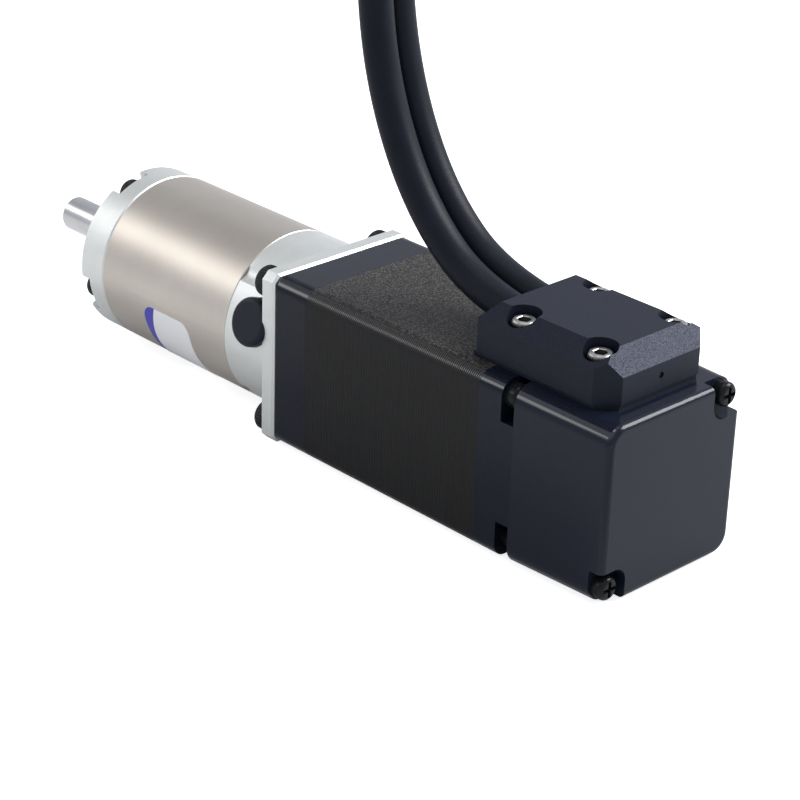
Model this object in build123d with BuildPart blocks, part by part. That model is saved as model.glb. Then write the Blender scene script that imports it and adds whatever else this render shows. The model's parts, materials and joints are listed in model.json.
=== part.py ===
from build123d import *
import math
import os

os.makedirs("parts", exist_ok=True)

# Geared stepper motor with a planetary gearbox and a cabled encoder at the rear.
# Millimetres. The output shaft points along +X, the front mounting face is at x = 0,
# Z is up and the axis of the shaft is y = 0, z = 0.

# Stations along the shaft
flange_rear_x = -6.2
sleeve_rear_x = -37.7
adaptor_body_rear_x = -47.0
motor_front_x = -49.6
stator_front_x = -56.8
stator_rear_x = -93.7
cap_rear_x = -100.8
cover_rear_x = -118.6
shaft_front_x = 20.5

# Running and seating clearances
fit_gap = 0.02
run_gap = 0.04
thread_gap = 0.02

# Gear train: module 0.4, sun 12, planets 18, ring 48
module = 0.4
pressure_deg = 20.0
sun_teeth = 12
planet_teeth = 18
ring_teeth = 48
backlash = 0.035
dedendum = 1.25 * module
sun_addendum = module
planet_addendum = 0.875 * module
ring_addendum = 0.85 * module
sun_root_r = module * sun_teeth / 2 - dedendum
sun_tip_r = module * sun_teeth / 2 + sun_addendum
planet_root_r = module * planet_teeth / 2 - dedendum
planet_tip_r = module * planet_teeth / 2 + planet_addendum
ring_root_r = module * ring_teeth / 2 + dedendum
ring_tip_r = module * ring_teeth / 2 - ring_addendum
planet_count = 3
planet_first_deg = 90.0
planet_orbit_r = module * (sun_teeth + planet_teeth) / 2
gear_front_x = -21.25
gear_rear_x = -30.95
ring_face_front_x = -21.0
ring_face_rear_x = -31.2

# Gearbox body
sleeve_wall = 4.1
gearbox_r = ring_root_r + sleeve_wall
joint_chamfer = 0.25
joint_line = 0.12
front_chamfer = 0.5
pilot_r = 8.5
pilot_height = 2.0
pilot_chamfer = 0.3
register_length = 3.0
register_r = ring_root_r - fit_gap

# Small ball bearings in the gearbox
bearing_bore_r = 3.0
bearing_outer_r = 6.0
bearing_width = 4.0
bearing_race = 0.9
shield_depth = 0.3
output_front_bearing_x = -5.0
output_rear_bearing_x = -17.0
bearing_tube_r = 8.2
bearing_shoulder_r = 5.2

# Carrier
carrier_r = ring_tip_r - 0.46
carrier_front_x = -17.6
carrier_inner_x = -21.0
carrier_rear_inner_x = -31.2
carrier_rear_x = -33.0
carrier_boss_r = 3.9
carrier_rear_bore_r = 3.4
pin_r = 1.25
post_r = 1.5
post_orbit_r = 7.2
carrier_screw_r = 0.8
carrier_screw_head_r = 1.5
carrier_screw_head = 0.7
carrier_screw_length = 5.0

# Output shaft
shaft_r = 3.0
shaft_chamfer = 0.5
circlip_x = -1.0
circlip_thickness = 0.6
circlip_outer_r = 4.3
circlip_groove_depth = 0.3

# Flange screws, M2.5
screw_pitch_r = ring_root_r + 1.5
screw_first_deg = 71.5
notch_depth = 2.5
notch_half_width = 3.1
m25_head_r = 2.25
m25_head = 2.4
m25_r = 1.2
m25_clear_r = 1.35
m25_hex_af = 2.0
m25_hex_depth = 1.2
flange_screw_length = 8.5
sleeve_hole_depth = 6.0

# Customer holes in the mounting face
face_hole_pcd = 22.0
face_hole_r = 1.25
face_hole_first_deg = 26.5
face_hole_depth = 5.0

# Adaptor between gearbox and motor
plate_side = 2 * gearbox_r + 0.2
plate_corner = 1.2
plate_edge_chamfer = 0.35
corner_screw_offset = 11.5
corner_head_r = 2.5
corner_head = 2.5
scallop_room = 0.06
scallop_r = corner_head_r + scallop_room
corner_screw_length = 6.0
input_bearing_rear_x = sleeve_rear_x - 0.5
input_spigot_front_x = input_bearing_rear_x + bearing_width
adaptor_lip_x = input_bearing_rear_x - 1.0
adaptor_lip_r = 5.0
adaptor_cavity_r = 7.5
pilot_recess_x = -47.5
ring_screw_head_x = -47.5
ring_screw_seat_x = -45.0
ring_screw_reach = 4.7
ring_screw_tip_x = sleeve_rear_x + ring_screw_reach
access_x = -43.8
access_deg = 18.6
access_r = 2.2
access_slot = 0.6
plug_head_r = 3.95
plug_height = 1.3
plug_ear_r = 1.3
plug_ear_x = -1.3
plug_ear_up = 3.1
plug_ear_height = 0.6
plug_rim = 0.35
plug_stem_depth = 2.4

# Sun pinion with clamp hub
hub_r = 6.0
hub_front_x = -39.7
hub_rear_x = -47.3
hub_neck_front_x = -34.0
hub_neck_r = 3.25
motor_shaft_r = 2.5
motor_shaft_front_x = -41.0
clamp_screw_r = 1.25
clamp_screw_hex_af = 1.3

# Motor
motor_side = 28.2
motor_corner_r = 2.3
cap_edge_r = 0.45
motor_pilot_r = 11.0
motor_pilot = 1.9
motor_bearing_bore_r = 2.5
motor_bearing_outer_r = 6.5
front_bearing_front_x = -51.2
rear_bearing_rear_x = -98.2
washer_thickness = 0.4
coil_room_r = 12.0
coil_hub_r = 7.9
coil_room_depth = 3.4
cap_shaft_hole_r = 3.1
rotor_journal_r = 3.4
rotor_r = 7.3
rotor_tooth_depth = 0.35
rotor_teeth = 50
air_gap = 0.1
pole_count = 8
pole_half_width = 1.35
pole_shoe_half_deg = 18.0
pole_shoe = 0.9
slot_outer_r = 12.2
coil_thickness = 1.15
coil_end = 2.0
coil_inner_r = 8.8
coil_outer_r = 11.7
magnet_length = 2.6
rotor_front_x = -58.5
rotor_rear_x = -92.0
shaft_rear_x = -104.2

# Screws of the motor
pocket_inner = 8.0
pocket_depth = 2.6
pocket_round = 0.8
pocket_side = 10.0
motor_head_r = 1.95
motor_head = 2.0
long_screw_tip_x = -54.2
cover_head_r = 1.85
cover_head = 2.0
cover_head_round = 0.8
cross_width = 0.6
cross_span = 2.5
cross_depth = 0.9

# Rear cover
cover_front_side = 28.4
cover_rear_side = 27.75
cover_corner_r = 3.0
cover_rear_edge_r = 1.0
cover_wall = 1.5
low_notch_y = 8.7
high_notch_y = 7.8
notch_z = 8.4
notch_side = 12.0
cover_notch_depth = 2.3
cover_notch_r = 2.4
notch_pad = 1.2
boss_r = 2.1
cover_slot_front_x = -104.0
cover_slot_rear_x = -108.0
cover_slot_half = 5.0

# Encoder
magnet_hub_r = 4.5
magnet_hub_front_x = -101.6
magnet_hub_rear_x = -106.6
magnet_r = 3.6
magnet_depth = 1.6
board_front_x = -108.6
board_thickness = 1.2
board_half_y = 10.6
board_half_z = 8.6
board_corner = 4.6
chip_side = 4.0
chip_height = 1.0
standoff_r = 1.9
standoff_y = 9.0
board_screw_r = 0.8
board_head_r = 1.5
board_head = 1.0
board_screw_length = 5.0

# Cable box on top
box_rear_x = -115.0
box_front_x = -88.8
box_half_width = 10.97
box_top_z = 22.3
box_side_top_z = 20.1
box_end_top_z = 18.95
box_top_half_width = 7.67
box_end_run = 2.5
box_front_corner = 1.1
box_rear_corner = 2.9
box_split_z = 14.8
box_base_inset = 0.3
box_wall = 1.4
box_roof = 1.2
box_room_half = 6.5
box_lip_height = 1.0
box_lip = 0.9
box_screw_rear_x = -110.4
box_screw_front_x = -95.9
box_screw_y = 7.75
box_bore_r = 2.5
box_seat_z = 19.2
box_pillar_r = 2.0
m2_head_r = 1.9
m2_head = 2.0
m2_r = 0.95
m2_clear_r = 1.1
m2_hex_af = 1.5
m2_hex_depth = 1.0
m2_tip_z = 10.6
dimple_r = 0.5
dimple_depth = 0.3
dimple_z = 17.0

# Cables
cable_r = 2.6
cable_z = 17.8
near_cable_y = 2.95
far_cable_y = -2.9
cable_start_x = -103.6
grommet_thickness = 1.9
grommet_half_y = 6.1
grommet_lift = 0.18
grommet_play = 0.25
grommet_high_z = 21.0
terminal_length = 4.0
terminal_half_y = 5.7
terminal_low_z = 14.8
terminal_high_z = 20.4
floor_z = -11.7
plug_length = 22.0
plug_half_width = 5.6
plug_half_height = 2.6
plug_mouth_wall = 0.9
plug_mouth_depth = 7.0
plug_latch_length = 9.0
plug_latch_width = 3.0

# Label on the gearbox sleeve
label_front_x = -17.0
label_rear_x = -28.6
label_middle_deg = -39.75
label_half_deg = 35.25
label_corner = 2.0
label_thickness = 0.06

# The two cables, each a hand-laid line of corner points with its two ends
near_points = [
    (cable_start_x, near_cable_y, cable_z),
    (-84.6, near_cable_y, cable_z),
    (-68.4, 3.0, 29.4),
    (-58.6, 3.1, 51.1),
    (-58.2, 3.2, 78.6),
    (-70.0, 3.2, 104.0),
    (-94.4, 3.3, 117.8),
    (-122.4, 3.4, 117.8),
    (-146.6, 3.7, 103.6),
    (-160.8, 4.2, 78.5),
    (-161.8, 4.9, 48.5),
    (-166.0, 5.6, 19.0),
    (-177.5, 6.2, 2.6),
    (-195.1, 6.8, -6.8),
    (-213.1, 7.0, floor_z),
    (-237.0, 8.4, floor_z),
    (-260.0, 8.4, floor_z),
]
far_points = [
    (cable_start_x, far_cable_y, cable_z),
    (-83.6, far_cable_y, cable_z),
    (-66.9, -2.8, 29.2),
    (-57.1, -2.6, 51.4),
    (-56.6, -2.3, 78.7),
    (-68.6, -2.2, 104.0),
    (-93.6, -2.2, 117.8),
    (-121.8, -2.3, 117.8),
    (-146.2, -2.7, 103.6),
    (-160.6, -3.4, 78.5),
    (-161.6, -4.2, 48.5),
    (-165.8, -5.2, 19.0),
    (-177.3, -6.0, 2.6),
    (-194.9, -6.6, -6.8),
    (-212.9, -7.0, floor_z),
    (-237.0, -8.4, floor_z),
    (-260.0, -8.4, floor_z),
]


def involute(angle):
    return math.tan(angle) - angle


def half_tooth(teeth, r, inside):
    # Half the angle that a tooth takes at radius r, less half the backlash
    pitch_r = module * teeth / 2
    base_r = pitch_r * math.cos(math.radians(pressure_deg))
    turn = math.acos(base_r / max(r, base_r))
    change = involute(turn) - involute(math.radians(pressure_deg))
    if inside:
        change = -change
    return math.pi / (2 * teeth) - change - backlash / (2 * r)


def tooth_outline(teeth, root_r, tip_r, inside, first_deg):
    # Corner points of a toothed wheel, seven for each tooth, in order round the circle
    pitch_r = module * teeth / 2
    radii = [root_r, (root_r + pitch_r) / 2, pitch_r, tip_r]
    points = []
    for tooth in range(teeth):
        centre = math.radians(first_deg) + 2 * math.pi * tooth / teeth
        for r in radii:
            turn = centre - half_tooth(teeth, r, inside)
            points.append((r * math.cos(turn), r * math.sin(turn)))
        for r in reversed(radii):
            turn = centre + half_tooth(teeth, r, inside)
            points.append((r * math.cos(turn), r * math.sin(turn)))
    return points


def bend_radii(points):
    # A bend of 0.45 of the shorter run beside it, measured along the run
    corners = [Vector(*point) for point in points]
    radii = []
    for before, here, after in zip(corners, corners[1:], corners[2:]):
        half_turn = math.radians((here - before).get_angle(after - here)) / 2
        shorter = min((here - before).length, (after - here).length)
        radii.append(0.45 * shorter / math.tan(half_turn))
    return radii


def on_circle(r, deg):
    return (r * math.cos(math.radians(deg)), r * math.sin(math.radians(deg)))


def hex_r(across_flats):
    return across_flats / math.sqrt(3)


# Output shaft with the front plate of the carrier and its three posts
with BuildPart() as output_shaft:
    with BuildSketch(Plane.YZ.offset(output_rear_bearing_x)):
        Circle(shaft_r)
    extrude(amount=shaft_front_x - output_rear_bearing_x)
    chamfer(output_shaft.faces().sort_by(Axis.X)[-1].edges(), shaft_chamfer)
    with BuildSketch(Plane.YZ.offset(circlip_x)):
        Circle(shaft_r + 1)
        Circle(shaft_r - circlip_groove_depth, mode=Mode.SUBTRACT)
    extrude(amount=circlip_thickness + run_gap, mode=Mode.SUBTRACT)
    with BuildSketch(Plane.YZ.offset(output_rear_bearing_x)):
        Circle(carrier_boss_r)
    extrude(amount=carrier_front_x - output_rear_bearing_x)
    with BuildSketch(Plane.YZ.offset(carrier_front_x)):
        Circle(carrier_r)
    extrude(amount=carrier_inner_x - carrier_front_x)
    with BuildSketch(Plane.YZ.offset(carrier_inner_x)):
        with PolarLocations(post_orbit_r, planet_count, start_angle=planet_first_deg - 60):
            Circle(post_r)
    extrude(amount=carrier_rear_inner_x - carrier_inner_x)
    with BuildSketch(Plane.YZ.offset(carrier_front_x)):
        with PolarLocations(planet_orbit_r, planet_count, start_angle=planet_first_deg):
            Circle(pin_r + fit_gap)
    extrude(amount=carrier_inner_x - carrier_front_x, mode=Mode.SUBTRACT)
    with BuildSketch(Plane.YZ.offset(carrier_rear_inner_x)):
        with PolarLocations(post_orbit_r, planet_count, start_angle=planet_first_deg - 60):
            Circle(carrier_screw_r + thread_gap)
    extrude(amount=carrier_screw_length, mode=Mode.SUBTRACT)

with BuildPart() as carrier_rear_plate:
    with BuildSketch(Plane.YZ.offset(carrier_rear_x)):
        Circle(carrier_r)
        Circle(carrier_rear_bore_r, mode=Mode.SUBTRACT)
        with PolarLocations(planet_orbit_r, planet_count, start_angle=planet_first_deg):
            Circle(pin_r + fit_gap, mode=Mode.SUBTRACT)
        with PolarLocations(post_orbit_r, planet_count, start_angle=planet_first_deg - 60):
            Circle(carrier_screw_r + run_gap, mode=Mode.SUBTRACT)
    extrude(amount=carrier_rear_inner_x - carrier_rear_x)
    with BuildSketch(Plane.YZ.offset(carrier_rear_x)):
        with PolarLocations(post_orbit_r, planet_count, start_angle=planet_first_deg - 60):
            Circle(carrier_screw_head_r + fit_gap)
    extrude(amount=carrier_screw_head, mode=Mode.SUBTRACT)

with BuildPart() as carrier_screws:
    with BuildSketch(Plane.YZ.offset(carrier_rear_x)):
        with PolarLocations(post_orbit_r, planet_count, start_angle=planet_first_deg - 60):
            Circle(carrier_screw_head_r)
            RegularPolygon(hex_r(0.9), 6, mode=Mode.SUBTRACT)
    extrude(amount=carrier_screw_head)
    with BuildSketch(Plane.YZ.offset(carrier_rear_x + carrier_screw_head / 2)):
        with PolarLocations(post_orbit_r, planet_count, start_angle=planet_first_deg - 60):
            Circle(carrier_screw_r)
    extrude(amount=carrier_screw_length)

with BuildPart() as planet_pins:
    with BuildSketch(Plane.YZ.offset(carrier_rear_x)):
        with PolarLocations(planet_orbit_r, planet_count, start_angle=planet_first_deg):
            Circle(pin_r)
    extrude(amount=carrier_front_x - carrier_rear_x)

with BuildPart() as retaining_ring:
    with BuildSketch(Plane.YZ.offset(circlip_x + run_gap / 2)):
        Circle(circlip_outer_r)
        Circle(shaft_r - circlip_groove_depth + fit_gap, mode=Mode.SUBTRACT)
        with Locations((0, -shaft_r)):
            Rectangle(shaft_r, shaft_r, mode=Mode.SUBTRACT)
        with Locations((shaft_r * 0.7, -shaft_r * 1.12), (-shaft_r * 0.7, -shaft_r * 1.12)):
            Circle(0.3, mode=Mode.SUBTRACT)
    extrude(amount=circlip_thickness)


def bearing_profile(rear_x, bore_r, outer_r):
    # Half section of a shielded ball bearing, as corner points in x and radius
    front_x = rear_x + bearing_width
    return [
        (rear_x, bore_r),
        (front_x, bore_r),
        (front_x, bore_r + bearing_race),
        (front_x - shield_depth, bore_r + bearing_race),
        (front_x - shield_depth, outer_r - bearing_race),
        (front_x, outer_r - bearing_race),
        (front_x, outer_r),
        (rear_x, outer_r),
        (rear_x, outer_r - bearing_race),
        (rear_x + shield_depth, outer_r - bearing_race),
        (rear_x + shield_depth, bore_r + bearing_race),
        (rear_x, bore_r + bearing_race),
    ]


with BuildPart() as output_bearing_front:
    with BuildSketch(Plane.XY):
        with BuildLine():
            Polyline(*bearing_profile(output_front_bearing_x, bearing_bore_r + fit_gap, bearing_outer_r), close=True)
        make_face()
    revolve(axis=Axis.X)

with BuildPart() as output_bearing_rear:
    with BuildSketch(Plane.XY):
        with BuildLine():
            Polyline(*bearing_profile(output_rear_bearing_x, bearing_bore_r + fit_gap, bearing_outer_r), close=True)
        make_face()
    revolve(axis=Axis.X)

with BuildPart() as input_bearing:
    with BuildSketch(Plane.XY):
        with BuildLine():
            Polyline(*bearing_profile(input_bearing_rear_x, hub_neck_r + fit_gap, bearing_outer_r), close=True)
        make_face()
    revolve(axis=Axis.X)

with BuildPart() as motor_bearing_front:
    with BuildSketch(Plane.XY):
        with BuildLine():
            Polyline(
                *bearing_profile(
                    front_bearing_front_x - bearing_width,
                    motor_bearing_bore_r + fit_gap,
                    motor_bearing_outer_r,
                ),
                close=True,
            )
        make_face()
    revolve(axis=Axis.X)

with BuildPart() as motor_bearing_rear:
    with BuildSketch(Plane.XY):
        with BuildLine():
            Polyline(
                *bearing_profile(
                    rear_bearing_rear_x,
                    motor_bearing_bore_r + fit_gap,
                    motor_bearing_outer_r,
                ),
                close=True,
            )
        make_face()
    revolve(axis=Axis.X)

# Front flange with the mounting face, the pilot, the screw notches and the bearing tube
with BuildPart() as front_flange:
    with BuildSketch(Plane.YZ.offset(flange_rear_x)):
        Circle(gearbox_r)
    extrude(amount=-flange_rear_x)
    chamfer(front_flange.faces().sort_by(Axis.X)[-1].edges(), front_chamfer)
    chamfer(front_flange.faces().sort_by(Axis.X)[0].edges(), joint_chamfer)
    with BuildSketch(Plane.YZ):
        Circle(pilot_r)
    extrude(amount=pilot_height)
    chamfer(front_flange.faces().sort_by(Axis.X)[-1].edges(), pilot_chamfer)
    with BuildSketch(Plane.YZ.offset(flange_rear_x)):
        Circle(register_r)
    extrude(amount=-register_length)
    with BuildSketch(Plane.YZ.offset(flange_rear_x - register_length)):
        Circle(bearing_tube_r)
    extrude(amount=output_rear_bearing_x - flange_rear_x + register_length)
    with BuildSketch(Plane.YZ.offset(pilot_height)):
        Circle(bearing_outer_r + fit_gap)
    extrude(amount=output_front_bearing_x - pilot_height, mode=Mode.SUBTRACT)
    with BuildSketch(Plane.YZ.offset(output_front_bearing_x)):
        Circle(bearing_shoulder_r)
    extrude(
        amount=output_rear_bearing_x + bearing_width - output_front_bearing_x,
        mode=Mode.SUBTRACT,
    )
    with BuildSketch(Plane.YZ.offset(output_rear_bearing_x)):
        Circle(bearing_outer_r + fit_gap)
    extrude(amount=bearing_width, mode=Mode.SUBTRACT)
    with BuildSketch(Plane.YZ):
        with PolarLocations(screw_pitch_r, 4, start_angle=screw_first_deg):
            Circle(notch_half_width)
        with PolarLocations(screw_pitch_r + gearbox_r / 4, 4, start_angle=screw_first_deg):
            Rectangle(gearbox_r / 2, 2 * notch_half_width)
    extrude(amount=-notch_depth, mode=Mode.SUBTRACT)
    with BuildSketch(Plane.YZ):
        with PolarLocations(screw_pitch_r, 4, start_angle=screw_first_deg):
            Circle(m25_clear_r)
    extrude(amount=flange_rear_x, mode=Mode.SUBTRACT)
    with BuildSketch(Plane.YZ):
        with PolarLocations(face_hole_pcd / 2, 4, start_angle=face_hole_first_deg):
            Circle(face_hole_r)
    extrude(amount=-face_hole_depth, mode=Mode.SUBTRACT)

with BuildPart() as flange_screws:
    with BuildSketch(Plane.YZ.offset(-notch_depth)):
        with PolarLocations(screw_pitch_r, 4, start_angle=screw_first_deg):
            Circle(m25_head_r)
    extrude(amount=m25_head)
    chamfer(flange_screws.edges().filter_by(GeomType.CIRCLE).group_by(Axis.X)[-1], 0.2)
    with BuildSketch(Plane.YZ.offset(-notch_depth)):
        with PolarLocations(screw_pitch_r, 4, start_angle=screw_first_deg):
            Circle(m25_r)
    extrude(amount=-flange_screw_length)
    with BuildSketch(Plane.YZ.offset(m25_head - notch_depth)):
        with PolarLocations(screw_pitch_r, 4, start_angle=screw_first_deg):
            RegularPolygon(hex_r(m25_hex_af), 6)
    extrude(amount=-m25_hex_depth, mode=Mode.SUBTRACT)

# Outer sleeve with the internal ring gear
with BuildPart() as ring_gear:
    with BuildSketch(Plane.YZ.offset(sleeve_rear_x)):
        Circle(gearbox_r)
    extrude(amount=flange_rear_x - sleeve_rear_x)
    chamfer(ring_gear.faces().sort_by(Axis.X)[-1].edges(), joint_chamfer)
    chamfer(ring_gear.faces().sort_by(Axis.X)[0].edges(), joint_line)
    with BuildSketch(Plane.YZ.offset(sleeve_rear_x)):
        Circle(ring_root_r)
    extrude(amount=flange_rear_x - sleeve_rear_x, mode=Mode.SUBTRACT)
    with BuildSketch(Plane.YZ.offset(ring_face_rear_x)):
        Circle(ring_root_r + 0.2)
        with BuildLine():
            Polyline(*tooth_outline(ring_teeth, ring_root_r, ring_tip_r, True, 0), close=True)
        make_face(mode=Mode.SUBTRACT)
    extrude(amount=ring_face_front_x - ring_face_rear_x)
    with BuildSketch(Plane.YZ.offset(flange_rear_x)):
        with PolarLocations(screw_pitch_r, 4, start_angle=screw_first_deg):
            Circle(m25_r + thread_gap)
    extrude(amount=-sleeve_hole_depth, mode=Mode.SUBTRACT)
    with BuildSketch(Plane.YZ.offset(sleeve_rear_x)):
        with PolarLocations(screw_pitch_r, 4, start_angle=screw_first_deg):
            Circle(m25_r + thread_gap)
    extrude(amount=sleeve_hole_depth, mode=Mode.SUBTRACT)

# Three planet wheels, each turning on its own pin
planet_gears = []
for index in range(planet_count):
    planet_deg = planet_first_deg + 360 / planet_count * index
    planet_y, planet_z = on_circle(planet_orbit_r, planet_deg)
    planet_plane = Plane((gear_rear_x, planet_y, planet_z), x_dir=(0, 1, 0), z_dir=(1, 0, 0))
    with BuildPart() as planet_gear:
        with BuildSketch(planet_plane):
            with BuildLine():
                Polyline(
                    *tooth_outline(
                        planet_teeth,
                        planet_root_r,
                        planet_tip_r,
                        False,
                        planet_deg + 180 / planet_teeth,
                    ),
                    close=True,
                )
            make_face()
            Circle(pin_r + run_gap, mode=Mode.SUBTRACT)
        extrude(amount=gear_front_x - gear_rear_x)
    planet_gears.append(planet_gear)

# Sun pinion, cut on the front of the hub that grips the motor shaft
with BuildPart() as sun_pinion:
    with BuildSketch(Plane.YZ.offset(hub_rear_x)):
        Circle(hub_r)
    extrude(amount=hub_front_x - hub_rear_x)
    chamfer(sun_pinion.edges().filter_by(GeomType.CIRCLE), 0.4)
    with BuildSketch(Plane.YZ.offset(hub_front_x)):
        Circle(hub_neck_r)
    extrude(amount=hub_neck_front_x - hub_front_x)
    with BuildSketch(Plane.YZ.offset(hub_neck_front_x)):
        with BuildLine():
            Polyline(*tooth_outline(sun_teeth, sun_root_r, sun_tip_r, False, 0), close=True)
        make_face()
    extrude(amount=gear_front_x - hub_neck_front_x)
    with BuildSketch(Plane.YZ.offset(hub_rear_x)):
        Circle(motor_shaft_r + fit_gap)
    extrude(amount=motor_shaft_front_x + 0.2 - hub_rear_x, mode=Mode.SUBTRACT)
    access_out = on_circle(1, access_deg)
    with BuildSketch(Plane((access_x, 0, 0), x_dir=(1, 0, 0), z_dir=(0, access_out[0], access_out[1]))):
        Circle(clamp_screw_r + thread_gap)
    extrude(amount=hub_r + 1, mode=Mode.SUBTRACT)

with BuildPart() as clamp_screw:
    screw_plane = Plane((access_x, 0, 0), x_dir=(1, 0, 0), z_dir=(0, access_out[0], access_out[1]))
    with BuildSketch(screw_plane.offset(motor_shaft_r + fit_gap)):
        Circle(clamp_screw_r)
    extrude(amount=hub_r - motor_shaft_r - 0.5)
    with BuildSketch(screw_plane.offset(hub_r - 0.5 + fit_gap)):
        RegularPolygon(hex_r(clamp_screw_hex_af), 6)
    extrude(amount=-1.4, mode=Mode.SUBTRACT)

# Adaptor between the gearbox and the motor
with BuildPart() as gearbox_adaptor:
    with BuildSketch(Plane.YZ.offset(adaptor_body_rear_x)):
        Circle(gearbox_r)
        with GridLocations(2 * corner_screw_offset, 2 * corner_screw_offset, 2, 2):
            Circle(scallop_r, mode=Mode.SUBTRACT)
    extrude(amount=sleeve_rear_x - adaptor_body_rear_x)
    chamfer(gearbox_adaptor.faces().sort_by(Axis.X)[-1].edges(), joint_line)
    with BuildSketch(Plane.YZ.offset(motor_front_x)):
        Rectangle(plate_side, plate_side)
        chamfer(vertices(), plate_corner)
    extrude(amount=adaptor_body_rear_x - motor_front_x)
    chamfer(gearbox_adaptor.faces().sort_by(Axis.X)[0].edges(), plate_edge_chamfer)
    with BuildSketch(Plane.YZ.offset(sleeve_rear_x)):
        Circle(register_r)
    extrude(amount=input_spigot_front_x - sleeve_rear_x)
    with BuildSketch(Plane.YZ.offset(input_spigot_front_x)):
        Circle(bearing_outer_r + fit_gap)
    extrude(amount=input_bearing_rear_x - input_spigot_front_x, mode=Mode.SUBTRACT)
    with BuildSketch(Plane.YZ.offset(input_bearing_rear_x)):
        Circle(adaptor_lip_r)
    extrude(amount=adaptor_lip_x - input_bearing_rear_x, mode=Mode.SUBTRACT)
    with BuildSketch(Plane.YZ.offset(adaptor_lip_x)):
        Circle(adaptor_cavity_r)
    extrude(amount=pilot_recess_x - adaptor_lip_x, mode=Mode.SUBTRACT)
    with BuildSketch(Plane.YZ.offset(pilot_recess_x)):
        Circle(motor_pilot_r + fit_gap)
    extrude(amount=motor_front_x - pilot_recess_x, mode=Mode.SUBTRACT)
    with BuildSketch(Plane.YZ.offset(motor_front_x)):
        with GridLocations(2 * corner_screw_offset, 2 * corner_screw_offset, 2, 2):
            Circle(m25_clear_r)
    extrude(amount=adaptor_body_rear_x - motor_front_x, mode=Mode.SUBTRACT)
    with BuildSketch(Plane.YZ.offset(motor_front_x)):
        with PolarLocations(screw_pitch_r, 4, start_angle=screw_first_deg):
            Circle(m25_head_r + 0.1)
    extrude(amount=ring_screw_seat_x - motor_front_x, mode=Mode.SUBTRACT)
    with BuildSketch(Plane.YZ.offset(ring_screw_seat_x)):
        with PolarLocations(screw_pitch_r, 4, start_angle=screw_first_deg):
            Circle(m25_clear_r)
    extrude(amount=sleeve_rear_x - ring_screw_seat_x, mode=Mode.SUBTRACT)
    with BuildSketch(Plane((access_x, 0, 0), x_dir=(1, 0, 0), z_dir=(0, access_out[0], access_out[1]))):
        with Locations((-access_slot / 2, 0)):
            SlotCenterToCenter(access_slot, 2 * access_r)
    extrude(amount=gearbox_r + 1, mode=Mode.SUBTRACT)

with BuildPart() as adaptor_ring_screws:
    with BuildSketch(Plane.YZ.offset(ring_screw_seat_x)):
        with PolarLocations(screw_pitch_r, 4, start_angle=screw_first_deg):
            Circle(m25_head_r)
            RegularPolygon(hex_r(m25_hex_af), 6, mode=Mode.SUBTRACT)
    extrude(amount=ring_screw_head_x - ring_screw_seat_x)
    with BuildSketch(Plane.YZ.offset(ring_screw_seat_x - 1.2)):
        with PolarLocations(screw_pitch_r, 4, start_angle=screw_first_deg):
            Circle(m25_r)
    extrude(amount=ring_screw_tip_x - ring_screw_seat_x + 1.2)

with BuildPart() as adaptor_screws:
    with BuildSketch(Plane.YZ.offset(adaptor_body_rear_x)):
        with GridLocations(2 * corner_screw_offset, 2 * corner_screw_offset, 2, 2):
            Circle(corner_head_r)
    extrude(amount=corner_head)
    chamfer(adaptor_screws.edges().filter_by(GeomType.CIRCLE).group_by(Axis.X)[-1], 0.2)
    with BuildSketch(Plane.YZ.offset(adaptor_body_rear_x)):
        with GridLocations(2 * corner_screw_offset, 2 * corner_screw_offset, 2, 2):
            Circle(m25_r)
    extrude(amount=-corner_screw_length)
    with BuildSketch(Plane.YZ.offset(adaptor_body_rear_x + corner_head)):
        with GridLocations(2 * corner_screw_offset, 2 * corner_screw_offset, 2, 2):
            RegularPolygon(hex_r(m25_hex_af), 6)
    extrude(amount=-m25_hex_depth, mode=Mode.SUBTRACT)

# Rubber plug over the hole that leads to the clamp screw
with BuildPart() as access_plug:
    plug_plane = Plane((access_x, 0, 0), x_dir=(1, 0, 0), z_dir=(0, access_out[0], access_out[1]))
    with BuildSketch(plug_plane.offset(gearbox_r - 0.6)):
        Circle(plug_head_r)
    extrude(amount=0.6 + plug_height)
    fillet(access_plug.edges().filter_by(GeomType.CIRCLE).sort_by_distance((access_x, 60, 20))[0], plug_height * 0.7)
    with BuildSketch(plug_plane.offset(gearbox_r - 1.2)):
        with Locations((plug_ear_x, -plug_ear_up)):
            Circle(plug_ear_r)
    extrude(amount=1.2 + plug_ear_height)
    with BuildSketch(Plane.YZ.offset(access_x - 2 * plug_head_r)):
        Circle(gearbox_r)
    extrude(amount=4 * plug_head_r, mode=Mode.SUBTRACT)
    with BuildSketch(Plane.YZ.offset(motor_front_x)):
        Rectangle(plate_side + 2 * fit_gap, plate_side + 2 * fit_gap)
    extrude(amount=adaptor_body_rear_x + fit_gap - motor_front_x, mode=Mode.SUBTRACT)
    with BuildSketch(plug_plane.offset(gearbox_r - plug_stem_depth)):
        Circle(access_r - fit_gap)
    extrude(amount=plug_stem_depth)

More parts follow.
